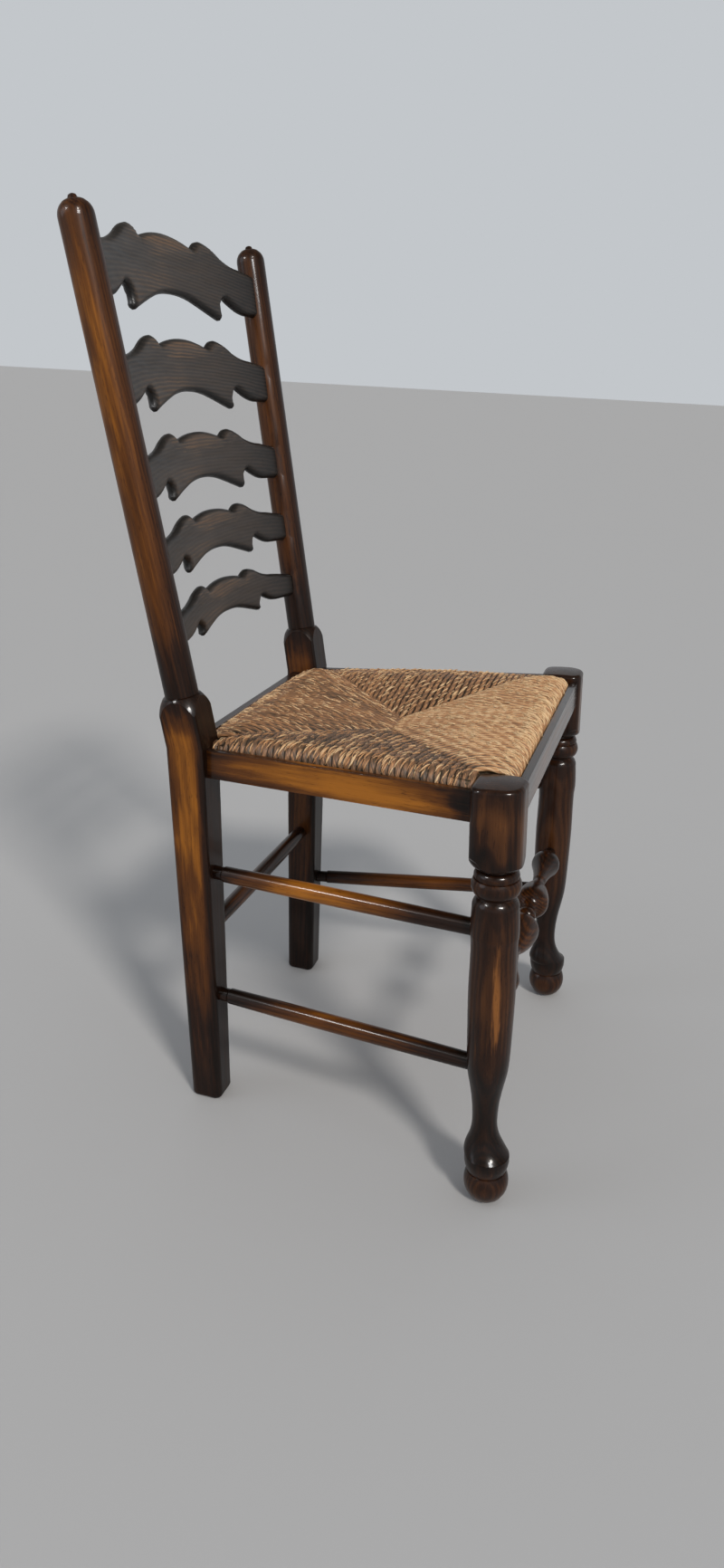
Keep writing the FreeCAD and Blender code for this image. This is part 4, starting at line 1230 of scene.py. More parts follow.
    def finish(self, index: int, axis_y: float) -> PolishedWood:
        """Describe one slat's stain: duller than the posts', with a worn crest, and with greyer colours that
        in part paint the pale sheen of its satin polish.

        Args:
            index: 0 for the top slat.
            axis_y: how far back the posts' middle lines are at this slat.

        Returns:
            The finish.
        """
        half_height = self.heights[index] / 2
        (pith_x, pith_y), (tilt_x, tilt_y) = self.pith_mm, self.pith_tilt
        return PolishedWood(f"stained_slat_{index + 1}", AXES.direction(1, 0, 0), AXES.direction(0, 0, 1),
                            AXES.point(0, axis_y + self.bow, self.tips[index] + half_height), self.bands,
                            rim_mm=self.edge_mm + 1.0, ring_mm=self.ring_mm,
                            pith_mm=(pith_x - self.pith_step * index, pith_y),
                            pith_tilt=(tilt_x, tilt_y - self.tilt_step * index),
                            figure=self.figures[index], streaks=0.10, gloss=0.40, sheen=0.4, coat=0.1,
                            # Painted reflection: part of the grey in these colours stands for the sheen of
                            # the polish over dark stain.
                            black="#0c0907", dark="#231d19", warm="#41362d", light="#72553a",
                            patch=((half_height, 0.0, 0.0), self.crest_half), patch_wear=self.crest_wear)


class Panel(Enum):
    """The four panels that the rush is woven in."""

    FRONT = "front"
    BACK = "back"
    LEFT = "left"
    RIGHT = "right"


@dataclass(frozen=True)
class SeatForm:
    """The shape that the rush is drawn over: rolled edges, sunk diagonal seams and a dished middle.

    Attributes:
        front: depth of the front edge.
        back: depth of the back edge.
        side_at: a point on the left side rail's line.
        side_run: direction of that line, to the side and to the front.
        side_gap: how far inside it the seat's side lies.
        crest: height of the rolled edges.
        corner: height of the corners.
        centre: height of the middle.
        inset: how far inside an edge its crest lies.
        ridge: half length of the seam in the middle, between the front and back panels.
        seam_rise: how much sooner than the crest a seam rises to the corner.
        seam_depth: how far a seam lies below the crests at least.
        puff: how far a panel is puffed up at most.
        puff_width: width at which a panel, and the space between seams, is puffed up in full.
        least_puff: the share, and the height in the middle, that is left where it has no width.
        edge_puff: how far the roll over an edge bulges.
        ledge: height of the seat's underside at its edges.
        ledge_width: how far in the underside is flat, at the front and back.
        flat_from: where the underside's sides are flat.
        sag: how far the underside hangs down in the middle.
        least_sag: how far it does towards the sides.
        sag_power: how soon it stops hanging.
        roll: how far the edges roll down.
        pressed: how far the rush is pressed down along the back and the left.
        pressed_width: how far in from the left and from the back it is.
        front_notch: where the front posts' notches end.
        back_notch: where the back posts' notches end.
    """

    front: float = -11.5
    back: float = 338.0
    side_at: Point2 = (184.0, 315.0)
    side_run: Point2 = (43.0, 293.0)
    side_gap: float = 9.5
    crest: float = 482.0
    corner: float = 478.0
    centre: float = 457.0
    inset: float = 16.0
    ridge: float = 24.0
    seam_rise: float = 1.25
    seam_depth: float = 0.3
    puff: float = 5.0
    puff_width: Point2 = (60.0, 80.0)
    least_puff: Point2 = (0.06, 0.2)
    edge_puff: float = 4.0
    ledge: float = 453.5
    ledge_width: float = 15.0
    flat_from: float = 158.3
    sag: float = 8.0
    least_sag: float = 0.2
    sag_power: float = 0.8
    roll: float = 11.0
    pressed: float = 7.5
    pressed_width: Point2 = (70.0, 50.0)
    front_notch: Point2 = (190.5, 26.5)
    back_notch: Point2 = (149.7, 314.2)

    def edge(self, y: float) -> float:
        """Return how far the seat's side lies from the middle at this depth."""
        (x, depth), (out, back) = self.side_at, self.side_run
        return x + out * (depth - y) / back - self.side_gap * math.hypot(out, back) / back

    def middle(self) -> float:
        """Return the depth of the seat's middle."""
        return (self.front + self.back) / 2

    def seam_share(self, x: float, to_front: bool) -> float:
        """Return 0 in the middle and 1 at the corner for a place on a seam."""
        corner = self.edge(self.front if to_front else self.back)
        return min(1.0, max(0.0, (abs(x) - self.ridge) / (corner - self.ridge)))

    def seam_y(self, x: float, to_front: bool) -> float:
        """Return the depth of a seam.

        Args:
            x: how far to the side.
            to_front: whether it is the front one.

        Returns:
            The depth.
        """
        share = self.seam_share(x, to_front)
        if to_front:
            return self.middle() - (self.middle() - self.front - self.inset) * share
        return self.middle() + (self.back - self.inset - self.middle()) * share

    def seam_x(self, y: float) -> float:
        """Return how far to the side a seam lies.

        Args:
            y: the depth.

        Returns:
            Its distance from the middle.
        """
        to_front = y < self.middle()
        corner = self.edge(self.front if to_front else self.back)
        if to_front:
            share = (self.middle() - y) / (self.middle() - self.front - self.inset)
        else:
            share = (y - self.middle()) / (self.back - self.inset - self.middle())
        return self.ridge + (corner - self.ridge) * share

    def seam_z(self, share: float) -> float:
        """Return the height of the seam's bottom."""
        return self.centre + (self.corner - self.centre) * min(1.0, self.seam_rise * share)

    def settled(self, x: float, y: float) -> float:
        """Return how far the rush is pressed down, to below the rails' lips at the back and the left.

        Args:
            x: how far to the left.
            y: how far back.

        Returns:
            The depth, 0 away from those edges.
        """
        wide, deep = self.pressed_width
        share = min(1.0, max(0.0, 1 + (x - self.edge(y)) / wide, 1 + (y - self.back) / deep))
        return self.pressed * share * share * (3 - 2 * share)

    def top(self, x: float, y: float) -> float:
        """Return the height of the upper surface, before the sides are rolled over."""
        return self.puffed(x, y) - self.settled(x, y)

    def puffed(self, x: float, y: float) -> float:
        """Return the height of the upper surface as it was woven.

        Args:
            x: how far to the left.
            y: how far back.

        Returns:
            The height: from front to back an edge, a panel, the space between the seams, a panel, an edge.
        """
        share_f, share_b = self.seam_share(x, True), self.seam_share(x, False)
        crest_f = self.crest - (self.crest - self.corner) * share_f ** 3
        crest_b = self.crest - (self.crest - self.corner) * share_b ** 3
        yc, yf = self.front + self.inset, self.back - self.inset
        yd, ye = self.seam_y(x, True), self.seam_y(x, False)
        zd = min(self.seam_z(share_f), crest_f - self.seam_depth)
        ze = min(self.seam_z(share_b), crest_b - self.seam_depth)
        (panel, between), (least, least_between) = self.puff_width, self.least_puff
        spans = ((self.front, crest_f - self.roll, yc, crest_f, self.edge_puff),
                 (yc, crest_f, yd, zd, self.puff * min(1.0, (yd - yc) / panel + least)),
                 (yd, zd, ye, ze, self.puff * min(1.0, (ye - yd) / between) + least_between),
                 (ye, ze, yf, crest_b, self.puff * min(1.0, (yf - ye) / panel + least)),
                 (yf, crest_b, self.back, crest_b - self.roll, self.edge_puff))
        for y0, z0, y1, z1, lift in spans:
            if y <= y1 or y1 == self.back:
                s = min(1.0, max(0.0, (y - y0) / max(y1 - y0, 1e-6)))
                return z0 + (z1 - z0) * s + 4 * lift * s * (1 - s)
        return crest_b

    def under(self, x: float, y: float) -> float:
        """Return the height of the lower surface.

        Args:
            x: how far to the left.
            y: how far back.

        Returns:
            The height.
        """
        y0, y1 = self.front + self.ledge_width, self.back - self.ledge_width
        if not y0 < y < y1 or abs(x) >= self.flat_from:
            return self.ledge
        s = (y - y0) / (y1 - y0)
        middle = self.sag * (1 - abs(x) / self.flat_from) ** self.sag_power + self.least_sag
        return self.ledge - 4 * middle * s * (1 - s)


@dataclass
class Cord:
    """One cord's centre line with its own frame at each step, in millimetres in the chair's axes.

    Attributes:
        centres: the steps of the line.
        across: direction to the next cord.
        fat: half width.
        tall: half height.
        start: where on the rush's pattern it starts, in metres; it also tells it from other cords.
        turn_mm: length of one turn of its twist.
        lobes: how many strands are twisted together.
        ridge: how far a strand stands out, as a share of the cord.
        uneven: how much thicker or thinner it gets, as a share.
        uneven_per_mm: how soon it does.
        ups: outward direction at each step.
        travelled: length travelled at each step.
    """

    centres: list[Vector]
    across: Vector
    fat: float
    tall: float
    start: float
    turn_mm: float = 44.0
    lobes: int = 3
    ridge: float = 0.11
    uneven: float = 0.09
    uneven_per_mm: float = 0.05
    ups: list[Vector] = field(default_factory=list)
    travelled: list[float] = field(default_factory=list)

    def __post_init__(self) -> None:
        """Work out the outward direction and the length travelled at each step."""
        total = 0.0
        for k, point in enumerate(self.centres):
            ahead = self.centres[min(k + 1, len(self.centres) - 1)] - self.centres[max(k - 1, 0)]
            self.ups.append(ahead.cross(self.across).normalized())
            total += (point - self.centres[k - 1]).length if k else 0.0
            self.travelled.append(total)

    def surface(self, k: int, angle: float, height: float = 0.0) -> Vector:
        """Return a point on the cord's skin.

        Args:
            k: the step along the cord.
            angle: 0 on its right-hand flank and a quarter turn at its crown.
            height: how far the point stands off the skin.

        Returns:
            The point.
        """
        lay = angle - math.tau * self.travelled[k] / self.turn_mm
        place = Vector((self.start * 3, self.travelled[k] * self.uneven_per_mm, 5.3))
        swell = 1 + self.ridge * math.cos(self.lobes * lay) + self.uneven * noise.noise(place)
        return (self.centres[k] + self.across * (math.cos(angle) * (self.fat * swell + height))
                + self.ups[k] * (math.sin(angle) * (self.tall * swell + height)))


@dataclass
class RushMesh:
    """A mesh of cords and loose fibres with the layers that the rush material reads."""

    bm: BMesh = field(default_factory=bmesh.new)

    def __post_init__(self) -> None:
        """Add the layers."""
        self.uv = self.bm.loops.layers.uv.new("cord")
        self.tone = self.bm.verts.layers.float.new("tone")
        self.open = self.bm.verts.layers.float.new("open")

    def vert(self, place: Vector, tone: float, unshaded: float) -> BMVert:
        """Add a vertex with the two numbers that the material reads.

        Args:
            place: where it lies, in millimetres in the chair's axes.
            tone: how pale the rush is there, with its panel's painted light.
            unshaded: 1 out in the open and 0 down in a crease, where shade is painted.

        Returns:
            The vertex.
        """
        vert = self.bm.verts.new(place)
        vert[self.tone] = tone
        vert[self.open] = unshaded
        return vert

    def tube(self, rings: list[list[BMVert]], along: list[float], girth: float) -> None:
        """Join rings of vertices into a closed tube.

        Args:
            rings: the rings in order.
            along: metres along the cord at each ring.
            girth: metres round it.
        """
        sides = len(rings[0])
        for k in range(len(rings) - 1):
            for j in range(sides):
                n = (j + 1) % sides
                face = self.bm.faces.new((rings[k][j], rings[k][n], rings[k + 1][n], rings[k + 1][j]))
                corners = ((k, j), (k, j + 1), (k + 1, j + 1), (k + 1, j))
                for loop, (at, turn) in zip(face.loops, corners):
                    loop[self.uv].uv = (along[at], girth * turn / sides)
        self.bm.faces.new(list(reversed(rings[0])))
        self.bm.faces.new(rings[-1])

    def finish(self, name: str) -> Object:
        """Turn the mesh into an object at the origin, with its place in its mesh."""
        bmesh.ops.transform(self.bm, matrix=AXES.matrix(), verts=self.bm.verts)
        return finish_mesh(self.bm, name, merge=False)


@dataclass(frozen=True)
class LooseFibres:
    """Pale split fibres that lie along a cord's twist, some of them frayed and with a lifted end.

    Attributes:
        every_mm: length of cord to each fibre.
        frayed_share: share of the fibres that lie in the worn fringe at the edge.
        fringe_steps: how many steps from the edge that fringe begins.
        steps: how many steps of its cord a fibre may be long.
        angle: where round the cord it may start, in radians.
        turn: how much of the cord's twist it follows.
        width: its half width.
        lift: how far a lifted end may stand off.
        lifted_shares: share of the others, and of the frayed fibres, whose end is lifted.
        pale: how much paler than the cord it may be.
        palest: the palest that it may be.
        least_width: share of its width that is left at its ends.
        blunt: how much of its taper is cut off at its ends.
        crown: how high its edges and its crown stand off the cord.
        unshaded: how open its edges lie, which sets the shade painted on them.
    """

    every_mm: float = 9.0
    frayed_share: float = 0.28
    fringe_steps: int = 8
    steps: tuple[int, ...] = (2, 3, 3, 4)
    angle: Point2 = (0.6, 2.4)
    turn: float = 0.8
    width: Point2 = (0.6, 1.4)
    lift: Point2 = (0.8, 2.4)
    lifted_shares: Point2 = (0.14, 0.35)
    pale: Point2 = (0.16, 0.55)
    palest: float = 1.1
    least_width: float = 0.18
    blunt: float = 0.04
    crown: Point2 = (0.25, 0.35)
    unshaded: float = 0.9

    def lay(self, mesh: RushMesh, cord: Cord, shown: int, tone: float, dice: random.Random) -> None:
        """Lay the fibres on one cord.

        Args:
            mesh: the panel's mesh of loose fibres.
            cord: the cord that they lie on.
            shown: how many of its steps show from above.
            tone: how pale the cord is.
            dice: the seeded source of unevenness.
        """
        for _ in range(int(cord.travelled[shown - 1] / self.every_mm)):
            steps = dice.choice(self.steps)
            frayed = dice.random() < self.frayed_share
            first = dice.randint(max(1, shown - self.fringe_steps) if frayed else 1,
                                 max(1, shown - steps - 1))
            if first + steps >= len(cord.centres):
                continue
            angle = dice.uniform(*self.angle)
            width = dice.uniform(*self.width)
            lifted = dice.uniform(*self.lift) if dice.random() < self.lifted_shares[frayed] else 0.0
            paleness = min(self.palest, tone + dice.uniform(*self.pale))
            rings = []
            for k in range(steps + 1):
                share, here = k / steps, first + k
                way = cord.travelled[here] - cord.travelled[first]
                turn = angle + math.tau * way / cord.turn_mm * self.turn
                cut = min(1 - self.blunt, max(self.blunt, share))
                taper = self.least_width + (1 - self.least_width) * math.sin(math.pi * cut)
                spread = width * taper / cord.fat
                sunk, crown = self.crown
                high = sunk + lifted * share ** 2
                edges = [cord.surface(here, turn + side, high - sunk) for side in (-spread, spread)]
                rings.append([mesh.vert(edge, paleness, self.unshaded) for edge in edges]
                             + [mesh.vert(cord.surface(here, turn, high + crown), paleness, 1.0)])
            along = [cord.start + cord.travelled[first + k] / MM_PER_M for k in range(steps + 1)]
            mesh.tube(rings, along, width * 3 / MM_PER_M)


@dataclass
class WovenRush:
    """The drop-in seat's rush: every cord runs from a seam over the edge and back to the seam below.

    Attributes:
        form: the shape that it is drawn over.
        fibres: the loose fibres on the cords.
        pitch: distance from cord to cord.
        thick: thickness of a cord.
        fatness: half width of a cord, as a share of the pitch.
        fatness_spread: how much thinner or fatter it may be.
        tone_spread: how much paler or darker than its panel a cord may be.
        drift: how much paler or darker a cord gets along its length.
        drift_per_mm: how soon it does.
        step: length of a step along a cord, where it shows.
        under_step: length of a step below.
        ring: how many faces a cord has round it.
        dive: how far a cord's end dips into its seam.
        dive_steep: how much sooner than the corner it starts to dip less.
        seam_gap: how far past the seam a cord's end lies.
        least_run: a cord shorter than this share of the edge's inset is left out.
        roll_share: the most of a cord's run that the roll takes.
        roll_steps: how many steps the roll has.
        tuck_height: how far above the ledge a cord turns in.
        tuck: how far in and up the next step lies.
        tuck_end: how far in the cord lies flat below.
        squeeze: how far the outermost cords are pressed into the posts' notches.
        flank: where a cord's flank comes out of the painted shade of the crease, and over how much it does.
        valley_shade: how much darker the painted shade makes the valleys between a cord's strands.
        core_inset_mm: how far the body between the cords is drawn in.
        seed: seed of the unevenness.
        lit_tones: how pale each panel is painted, for how the light falls on its side of the seat; the front
            palest.
        ways: direction to the next cord in each panel.
    """

    form: SeatForm = field(default_factory=SeatForm)
    fibres: LooseFibres = field(default_factory=LooseFibres)
    pitch: float = 6.7
    thick: float = 4.8
    fatness: float = 0.53
    fatness_spread: Point2 = (-0.03, 0.05)
    tone_spread: float = 0.08
    drift: float = 0.10
    drift_per_mm: float = 0.03
    step: float = 4.2
    under_step: float = 9.0
    ring: int = 9
    dive: float = 2.8
    dive_steep: float = 3.0
    seam_gap: float = 1.0
    least_run: float = 0.7
    roll_share: float = 0.8
    roll_steps: int = 5
    tuck_height: float = 7.0
    tuck: Point2 = (1.2, 1.4)
    tuck_end: float = 5.0
    squeeze: float = 1.2
    flank: Point2 = (0.3, 0.5)
    valley_shade: float = 0.4
    core_inset_mm: float = 3.4
    seed: int = 11
    # Painted light: each panel is drawn paler or darker as the light falls on its side of the seat.
    lit_tones: dict[Panel, float] = field(default_factory=lambda: {
        Panel.FRONT: 0.91, Panel.BACK: 0.59, Panel.RIGHT: 0.45, Panel.LEFT: 0.61})
    ways: dict[Panel, Point3] = field(default_factory=lambda: {
        Panel.FRONT: (1, 0, 0), Panel.BACK: (-1, 0, 0), Panel.RIGHT: (0, -1, 0), Panel.LEFT: (0, 1, 0)})

    def build(self) -> None:
        """Build the core and the four panels of cord."""
        self.core()
        material = TwistedRush().build()
        dice = random.Random(self.seed)
        for panel in Panel:
            cords, fibres = RushMesh(), RushMesh()
            places = list(self.stations(panel))
            for station in places:
                path, shown = self.path(panel, station)
                if path:
                    fat = self.pitch * (self.fatness + dice.uniform(*self.fatness_spread))
                    cord = Cord(path, Vector(self.ways[panel]), fat, self.thick / 2, dice.uniform(0, 5))
                    # The panel's tone is painted light; the spread around it is each cord's own tone.
                    tone = self.lit_tones[panel] + dice.uniform(-self.tone_spread, self.tone_spread)
                    self.wind(cords, cord, tone, station in (places[0], places[-1]))
                    self.fibres.lay(fibres, cord, shown, tone, dice)
            for mesh, name in ((cords, "cords"), (fibres, "loose_fibres")):
                piece = mesh.finish(f"rush_{name}_{panel.value}")
                dress(piece, material)
                register(piece, Body.SEAT, Slot.RUSH, "woven_rush")

    def core(self) -> None:
        """Build the shaded body that shows between the cords: the solid, drawn in under them."""
        bm = solid_copy("woven_rush")
        up, to_chair = AXES.direction(0, 0, 1), AXES.matrix().inverted()
        # Only the outer skin moves. It is walked from its highest point, which leaves the inner wall alone.
        skin = {max(bm.verts, key=lambda vert: vert.co.z)}
        front = list(skin)
        while front:
            front = list({edge.other_vert(vert) for vert in front for edge in vert.link_edges} - skin)
            skin.update(front)
        for vert in skin:
            x, y, z = to_chair @ vert.co
            drop = self.form.settled(x, y) if z > self.form.ledge + self.form.roll else 0.0
            vert.co -= vert.normal * (self.core_inset_mm / MM_PER_M) + up * (drop / MM_PER_M)
        piece = finish_mesh(bm, "rush_core", turn_out=False)
        dress(piece, RushFill("shaded_rush_body").build())
        register(piece, Body.SEAT, Slot.RUSH, "woven_rush")

    def stations(self, panel: Panel) -> Iterator[float]:
        """Yield the place of each cord across its panel.

        Args:
            panel: the panel.

        Yields:
            How far to the left in the front and back panels, and how far back in the others.
        """
        if panel in (Panel.FRONT, Panel.BACK):
            notch = self.form.front_notch if panel is Panel.FRONT else self.form.back_notch
            high = notch[0] + self.squeeze
            low = -high
        else:
            low, high = self.form.front_notch[1] - self.squeeze, self.form.back_notch[1] + self.squeeze
        count = round((high - low) / self.pitch)
        yield from (low + (high - low) * (k + 0.5) / count for k in range(count))

    def path(self, panel: Panel, station: float) -> tuple[list[Vector], int]:
        """Return the centre line of one cord, from the seam above to the seam below.

        Args:
            panel: the panel it is in.
            station: its place across the panel.

        Returns:
            Points in millimetres in the chair's axes, and how many of them show from above. The list is
            empty where there is no room.
        """
        form, half = self.form, self.thick / 2
        if panel in (Panel.FRONT, Panel.BACK):
            to_front = panel is Panel.FRONT
            outer, inner = (form.front if to_front else form.back), form.seam_y(station, to_front)
        else:
            sign = 1 if panel is Panel.LEFT else -1
            outer, inner = sign * form.edge(station), sign * form.seam_x(station)

        def spot(run: float) -> Point2:
            """Return the x and y of a place on the cord's run."""
            return (station, run) if panel in (Panel.FRONT, Panel.BACK) else (run, station)

        def at(run: float, z: float) -> Vector:
            """Return the point at this place on the run and this height."""
            return Vector((*spot(run), z))

        way = 1.0 if inner > outer else -1.0
        length = (inner - outer) * way
        if length < form.inset * self.least_run:
            return [], 0
        roll = min(form.inset, length * self.roll_share)
        edge = outer + way * roll
        x, y = spot(inner)
        dive = self.dive * min(1.0, self.dive_steep * (1 - form.seam_share(x, y < form.middle())))
        points = [at(inner - way * self.seam_gap, form.top(x, y) - half - dive)]
        count = max(2, round(length / self.step))
        for k in range(count):
            run = inner + (edge - inner) * k / count
            points.append(at(run, form.top(*spot(run)) - half))
        points += self.rolled(at, outer, way, roll, form.top(*spot(edge)))
        shown = len(points)
        points.append(at(outer + way * half, form.ledge + self.tuck_height))
        tuck_in, tuck_up = self.tuck
        points.append(at(outer + way * (half + tuck_in), form.ledge + half + tuck_up))
        low_count = max(2, round(length / self.under_step))
        for k in range(low_count + 1):
            run = outer + way * self.tuck_end + (inner - outer - way * self.tuck_end) * k / low_count
            points.append(at(run, form.under(*spot(run)) + half))
        points.append(at(inner - way * self.seam_gap, form.under(x, y) + self.dive))
        return points, shown

    def rolled(self, at: Callable[[float, float], Vector], outer: float, way: float, roll: float,
               crest: float) -> Iterator[Vector]:
        """Yield the cord's points as it rolls over the seat's edge.

        Args:
            at: turns a run and a height into a point.
            outer: the edge's run.
            way: 1 or -1, from the edge inwards.
            roll: how far in the roll starts.
            crest: its height there.

        Yields:
            The points in order.
        """
        half = self.thick / 2
        for k in range(self.roll_steps + 1):
            angle = math.pi / 2 * k / self.roll_steps
            yield at(outer + way * (half + (roll - half) * (1 - math.sin(angle))),
                     crest - half - self.form.roll * (1 - math.cos(angle)))

    def wind(self, mesh: RushMesh, cord: Cord, tone: float, outermost: bool) -> None:
        """Sweep one cord along its line, with the ridges of its twist, and with shade painted on its flanks
        and in the valleys between its strands.

        Args:
            mesh: the panel's mesh.
            cord: the cord's line and size.
            tone: how pale it is.
            outermost: whether it has no neighbour on one side, so that its flank is open too, with no painted
                shade.
        """
        out_from, out_over = self.flank
        rings = []
        for k in range(len(cord.centres)):
            place = Vector((cord.start * 7, cord.travelled[k] * self.drift_per_mm, 1.7))
            drift = self.drift * noise.noise(place)
            ring = []
            for j in range(self.ring):
                angle = math.tau * j / self.ring
                lay = angle - math.tau * cord.travelled[k] / cord.turn_mm
                # Painted shade: the flanks down in the crease and the valleys between strands are drawn
                # darker.
                strand = 0.5 + 0.5 * math.cos(cord.lobes * lay)
                flank = 1.0 if outermost else min(1.0, max(0.0, (math.sin(angle) - out_from) / out_over))
                unshaded = flank * (1 - self.valley_shade + self.valley_shade * strand)
                ring.append(mesh.vert(cord.surface(k, angle), tone + drift, unshaded))
            rings.append(ring)
        mesh.tube(rings, [cord.start + t / MM_PER_M for t in cord.travelled],
                  math.pi * (cord.fat + cord.tall) / MM_PER_M)


@dataclass
class HiddenWork:
    """What the seat and rails hold out of sight: frame bars, stuffing, corner blocks, screws and pegs.

    Attributes:
        bars: the bars of the seat's frame.
        blocks: the blocks in the rails' corners.
        peg_middle: the middle of the pegs.
        peg_bands: wear of the stain along them.
        peg_ring_mm: width of their growth rings.
    """

    bars: tuple[str, ...] = ("seat_frame_front", "seat_frame_back", "seat_frame_left", "seat_frame_right")
    blocks: tuple[str, ...] = ("corner_block_front_left", "corner_block_front_right",
                               "corner_block_back_left", "corner_block_back_right")
    peg_middle: Point3 = (0.0, 300.0, 700.0)
    peg_bands: Bands = ((-300, 0.3), (300, 0.3))
    peg_ring_mm: float = 1.5

    def dress(self) -> None:
        """Give each hidden solid its material."""
        bare = PlainWood().build()
        for node in self.bars + self.blocks:
            dress(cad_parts[node], bare)
        dress(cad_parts["rush_stuffing"], RushFill().build())
        dress(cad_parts["corner_block_screws"], BareSteel().build())
        peg = PolishedWood("stained_peg", AXES.direction(0, 1, 0), AXES.direction(0, 0, 1),
                           AXES.point(*self.peg_middle), self.peg_bands, ring_mm=self.peg_ring_mm)
        dress(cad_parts["slat_pegs"], peg.build())
        LOG.info("hidden work dressed")


def aim(name: str, data: Light, at: Point3, height: float = 0.5) -> Object:
    """Place a lamp and turn it to the middle of the chair.

    Args:
        name: the lamp's name.
        data: its light.
        at: where it hangs, in metres.
        height: height of the chair's middle.

    Returns:
        The lamp.
    """
    lamp = bpy.data.objects.new(name, data)
    lamp.location = at
    lamp.rotation_euler = (Vector((0, 0, height)) - Vector(at)).to_track_quat("-Z", "Y").to_euler()
    bpy.context.scene.collection.objects.link(lamp)
    return lamp


@dataclass(frozen=True)
class Sun:
    """An even soft light from one side.

    Attributes:
        name: its name.
        towards: direction from the chair to it.
        strength: its light, in watts to the square metre.
        spread: how wide it looks in degrees, which softens its shadows.
        colour: its colour.
    """

    name: str
    towards: Point3
    strength: float
    spread: float
    colour: str

    def shine(self) -> None:
        """Light the chair."""
        data = bpy.data.lights.new(self.name, "SUN")
        data.energy = self.strength
        data.angle = math.radians(self.spread)
        data.color = linear(self.colour)[:3]
        aim(self.name, data, self.towards)


@dataclass(frozen=True)
class Window:
    """A window-shaped lamp that only the polish mirrors, as a clear highlight.

    Attributes:
        name: its name.
        at: where it hangs, in metres.
        size: its width and height, in metres.
        power: its light, in watts.
    """

    name: str
    at: Point3
    size: Point2
    power: float

    def shine(self) -> None:
        """Hang the lamp."""
        data = bpy.data.lights.new(self.name, "AREA")
        data.shape = "RECTANGLE"
        data.size, data.size_y = self.size
        data.energy = self.power
        aim(self.name, data, self.at).visible_diffuse = False


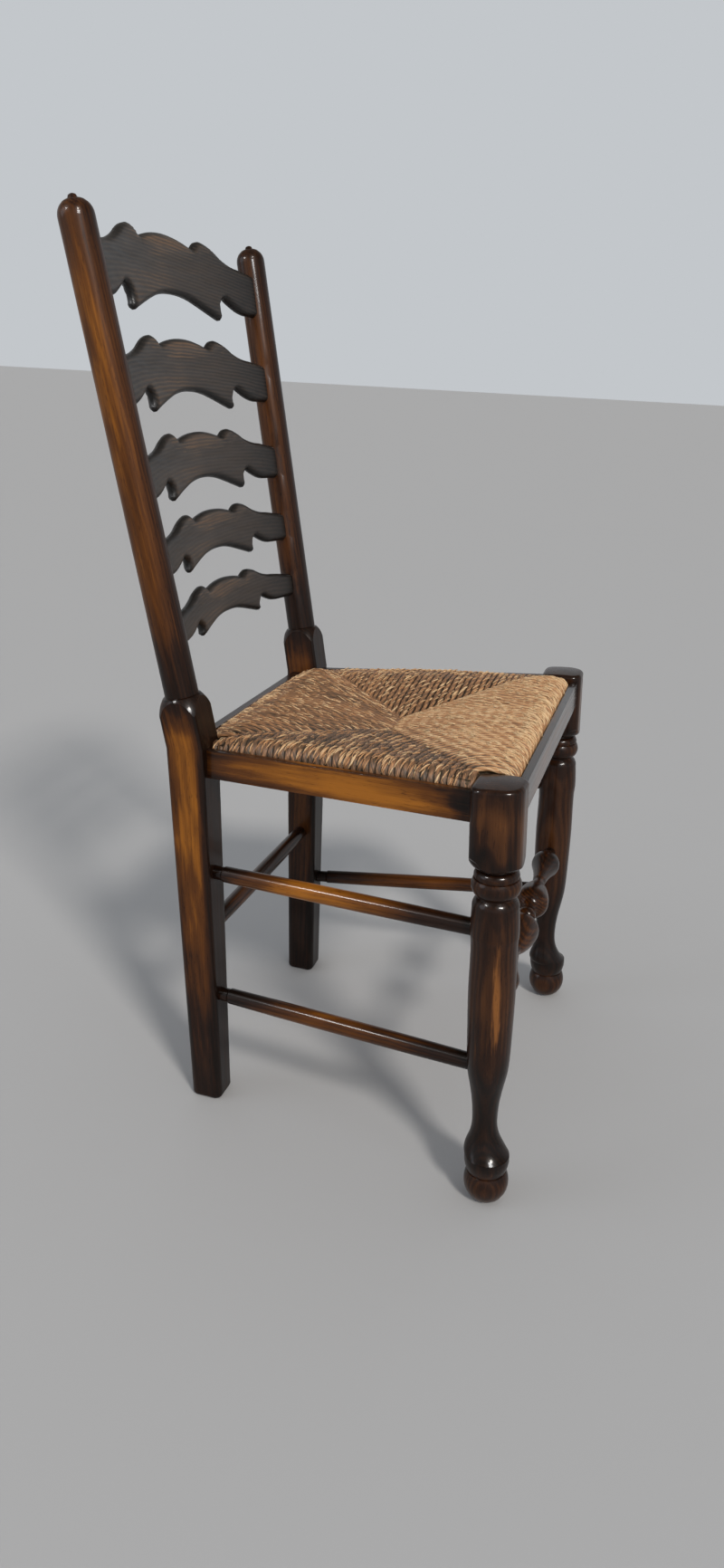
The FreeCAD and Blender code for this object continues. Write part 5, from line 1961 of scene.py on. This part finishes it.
@dataclass
class Studio:
    """The plain pale floor, soft lamps and the camera.

    Attributes:
        floor_hex: colour of the floor.
        floor_rough: its roughness.
        floor_size: half its width, in metres.
        light_hex: colour of the room's light.
        light: its strength.
        wall_hex: colour of the backdrop.
        ceiling_hex: colour above it, which the polish mirrors.
        wall_top: from where to where upwards the one turns into the other.
        lamps: the lamps.
        camera_at: where the camera stands, in metres.
        yaw: how far it is turned, in radians.
        pitch: how far it looks down.
        roll: how far it leans.
        focal_px: its focal length in pixels of the photograph.
        long_side_px: the photograph's height.
        sensor_mm: the sensor's long side.
    """

    floor_hex: str = "#b9babb"
    floor_rough: float = 0.7
    floor_size: float = 60.0
    light_hex: str = "#e3e6ea"
    light: float = 0.55
    wall_hex: str = "#c3c7cb"
    ceiling_hex: str = "#8b857e"
    wall_top: Point2 = (0.27, 0.58)
    lamps: tuple[Sun | Window, ...] = (
        Sun("key", (-0.62, -0.60, 1.25), 1.7, 9.0, "#fff8f0"),
        Sun("fill", (-0.5, 0.9, 0.8), 0.4, 30.0, "#eef3ff"),
        Window("left_window", (-1.7, -1.3, 2.0), (0.6, 0.4), 44.0),
        Window("right_window", (-1.3, 1.2, 1.9), (0.4, 0.3), 20.0))
    camera_at: Point3 = (-1.1292, -0.339669, 0.8253)
    yaw: float = -1.279
    pitch: float = 0.373
    roll: float = 0.051
    focal_px: float = 1166.4
    long_side_px: float = 1732.0
    sensor_mm: float = 36.0

    def build(self) -> None:
        """Build the floor, the lamps, the world and the camera."""
        self.floor()
        for lamp in self.lamps:
            lamp.shine()
        self.world()
        self.camera()

    def floor(self) -> None:
        """Lay a plain pale floor."""
        bm = bmesh.new()
        bmesh.ops.create_grid(bm, x_segments=2, y_segments=2, size=self.floor_size)
        piece = finish_mesh(bm, "floor", turn_out=False)
        mat = empty_material("pale_floor")
        shader = add_node(mat.node_tree, "ShaderNodeBsdfPrincipled", {
            "Base Color": linear(self.floor_hex), "Roughness": self.floor_rough})
        add_node(mat.node_tree, "ShaderNodeOutputMaterial", {"Surface": shader.outputs["BSDF"]})
        dress(piece, mat)

    def world(self) -> None:
        """Light the room evenly, with a pale backdrop that the camera and the polish see."""
        world = bpy.data.worlds.new("pale_room")
        bpy.context.scene.world = world
        world.use_nodes = True
        tree = world.node_tree
        tree.nodes.clear()
        rays = add_node(tree, "ShaderNodeLightPath")
        light = add_node(tree, "ShaderNodeBackground", {
            "Color": linear(self.light_hex), "Strength": self.light})
        around = add_node(tree, "ShaderNodeTexCoord")
        height = add_node(tree, "ShaderNodeSeparateXYZ", {"Vector": around.outputs["Generated"]})
        low, high = self.wall_top
        shade = add_node(tree, "ShaderNodeValToRGB", {"Fac": height.outputs["Z"]},
                         [(low, self.wall_hex), (high, self.ceiling_hex)])
        wall = add_node(tree, "ShaderNodeBackground", {"Color": shade.outputs["Color"], "Strength": 1.0})
        seen = rays.outputs["Is Camera Ray"]
        for kind in ("Is Glossy Ray", "Is Transmission Ray"):
            seen = add_node(tree, "ShaderNodeMath", {
                0: seen, 1: rays.outputs[kind]}, operation="MAXIMUM").outputs[0]
        mix = add_node(tree, "ShaderNodeMixShader", {0: seen, 1: light.outputs[0], 2: wall.outputs[0]})
        add_node(tree, "ShaderNodeOutputWorld", {"Surface": mix.outputs[0]})

    def camera(self) -> None:
        """Place the camera at the photograph's viewing point."""
        ahead, aside = math.cos(self.yaw), math.sin(self.yaw)
        forward = Vector((-aside * math.cos(self.pitch), ahead * math.cos(self.pitch), -math.sin(self.pitch)))
        level = Vector((ahead, aside, 0))
        upright = level.cross(forward)
        right = math.cos(self.roll) * level + math.sin(self.roll) * upright
        up = -math.sin(self.roll) * level + math.cos(self.roll) * upright
        data = bpy.data.cameras.new("camera")
        data.sensor_width = self.sensor_mm
        data.lens = self.focal_px / self.long_side_px * self.sensor_mm
        cam = bpy.data.objects.new("camera", data)
        turn = Matrix((right, up, -forward)).transposed()
        cam.matrix_world = Matrix.Translation(self.camera_at) @ turn.to_4x4()
        bpy.context.scene.collection.objects.link(cam)
        bpy.context.scene.camera = cam


def main() -> None:
    """Build the chair, sub-assembly by sub-assembly, then the studio."""
    logging.basicConfig(level=logging.INFO, format="%(name)s: %(message)s")
    Uprights().dress()
    SeatRails().build()
    Stretchers().dress()
    Slats().build()
    WovenRush().build()
    HiddenWork().dress()
    Studio().build()
    bpy.context.scene.view_settings.view_transform = "Standard"


if __name__ == "__main__":
    main()
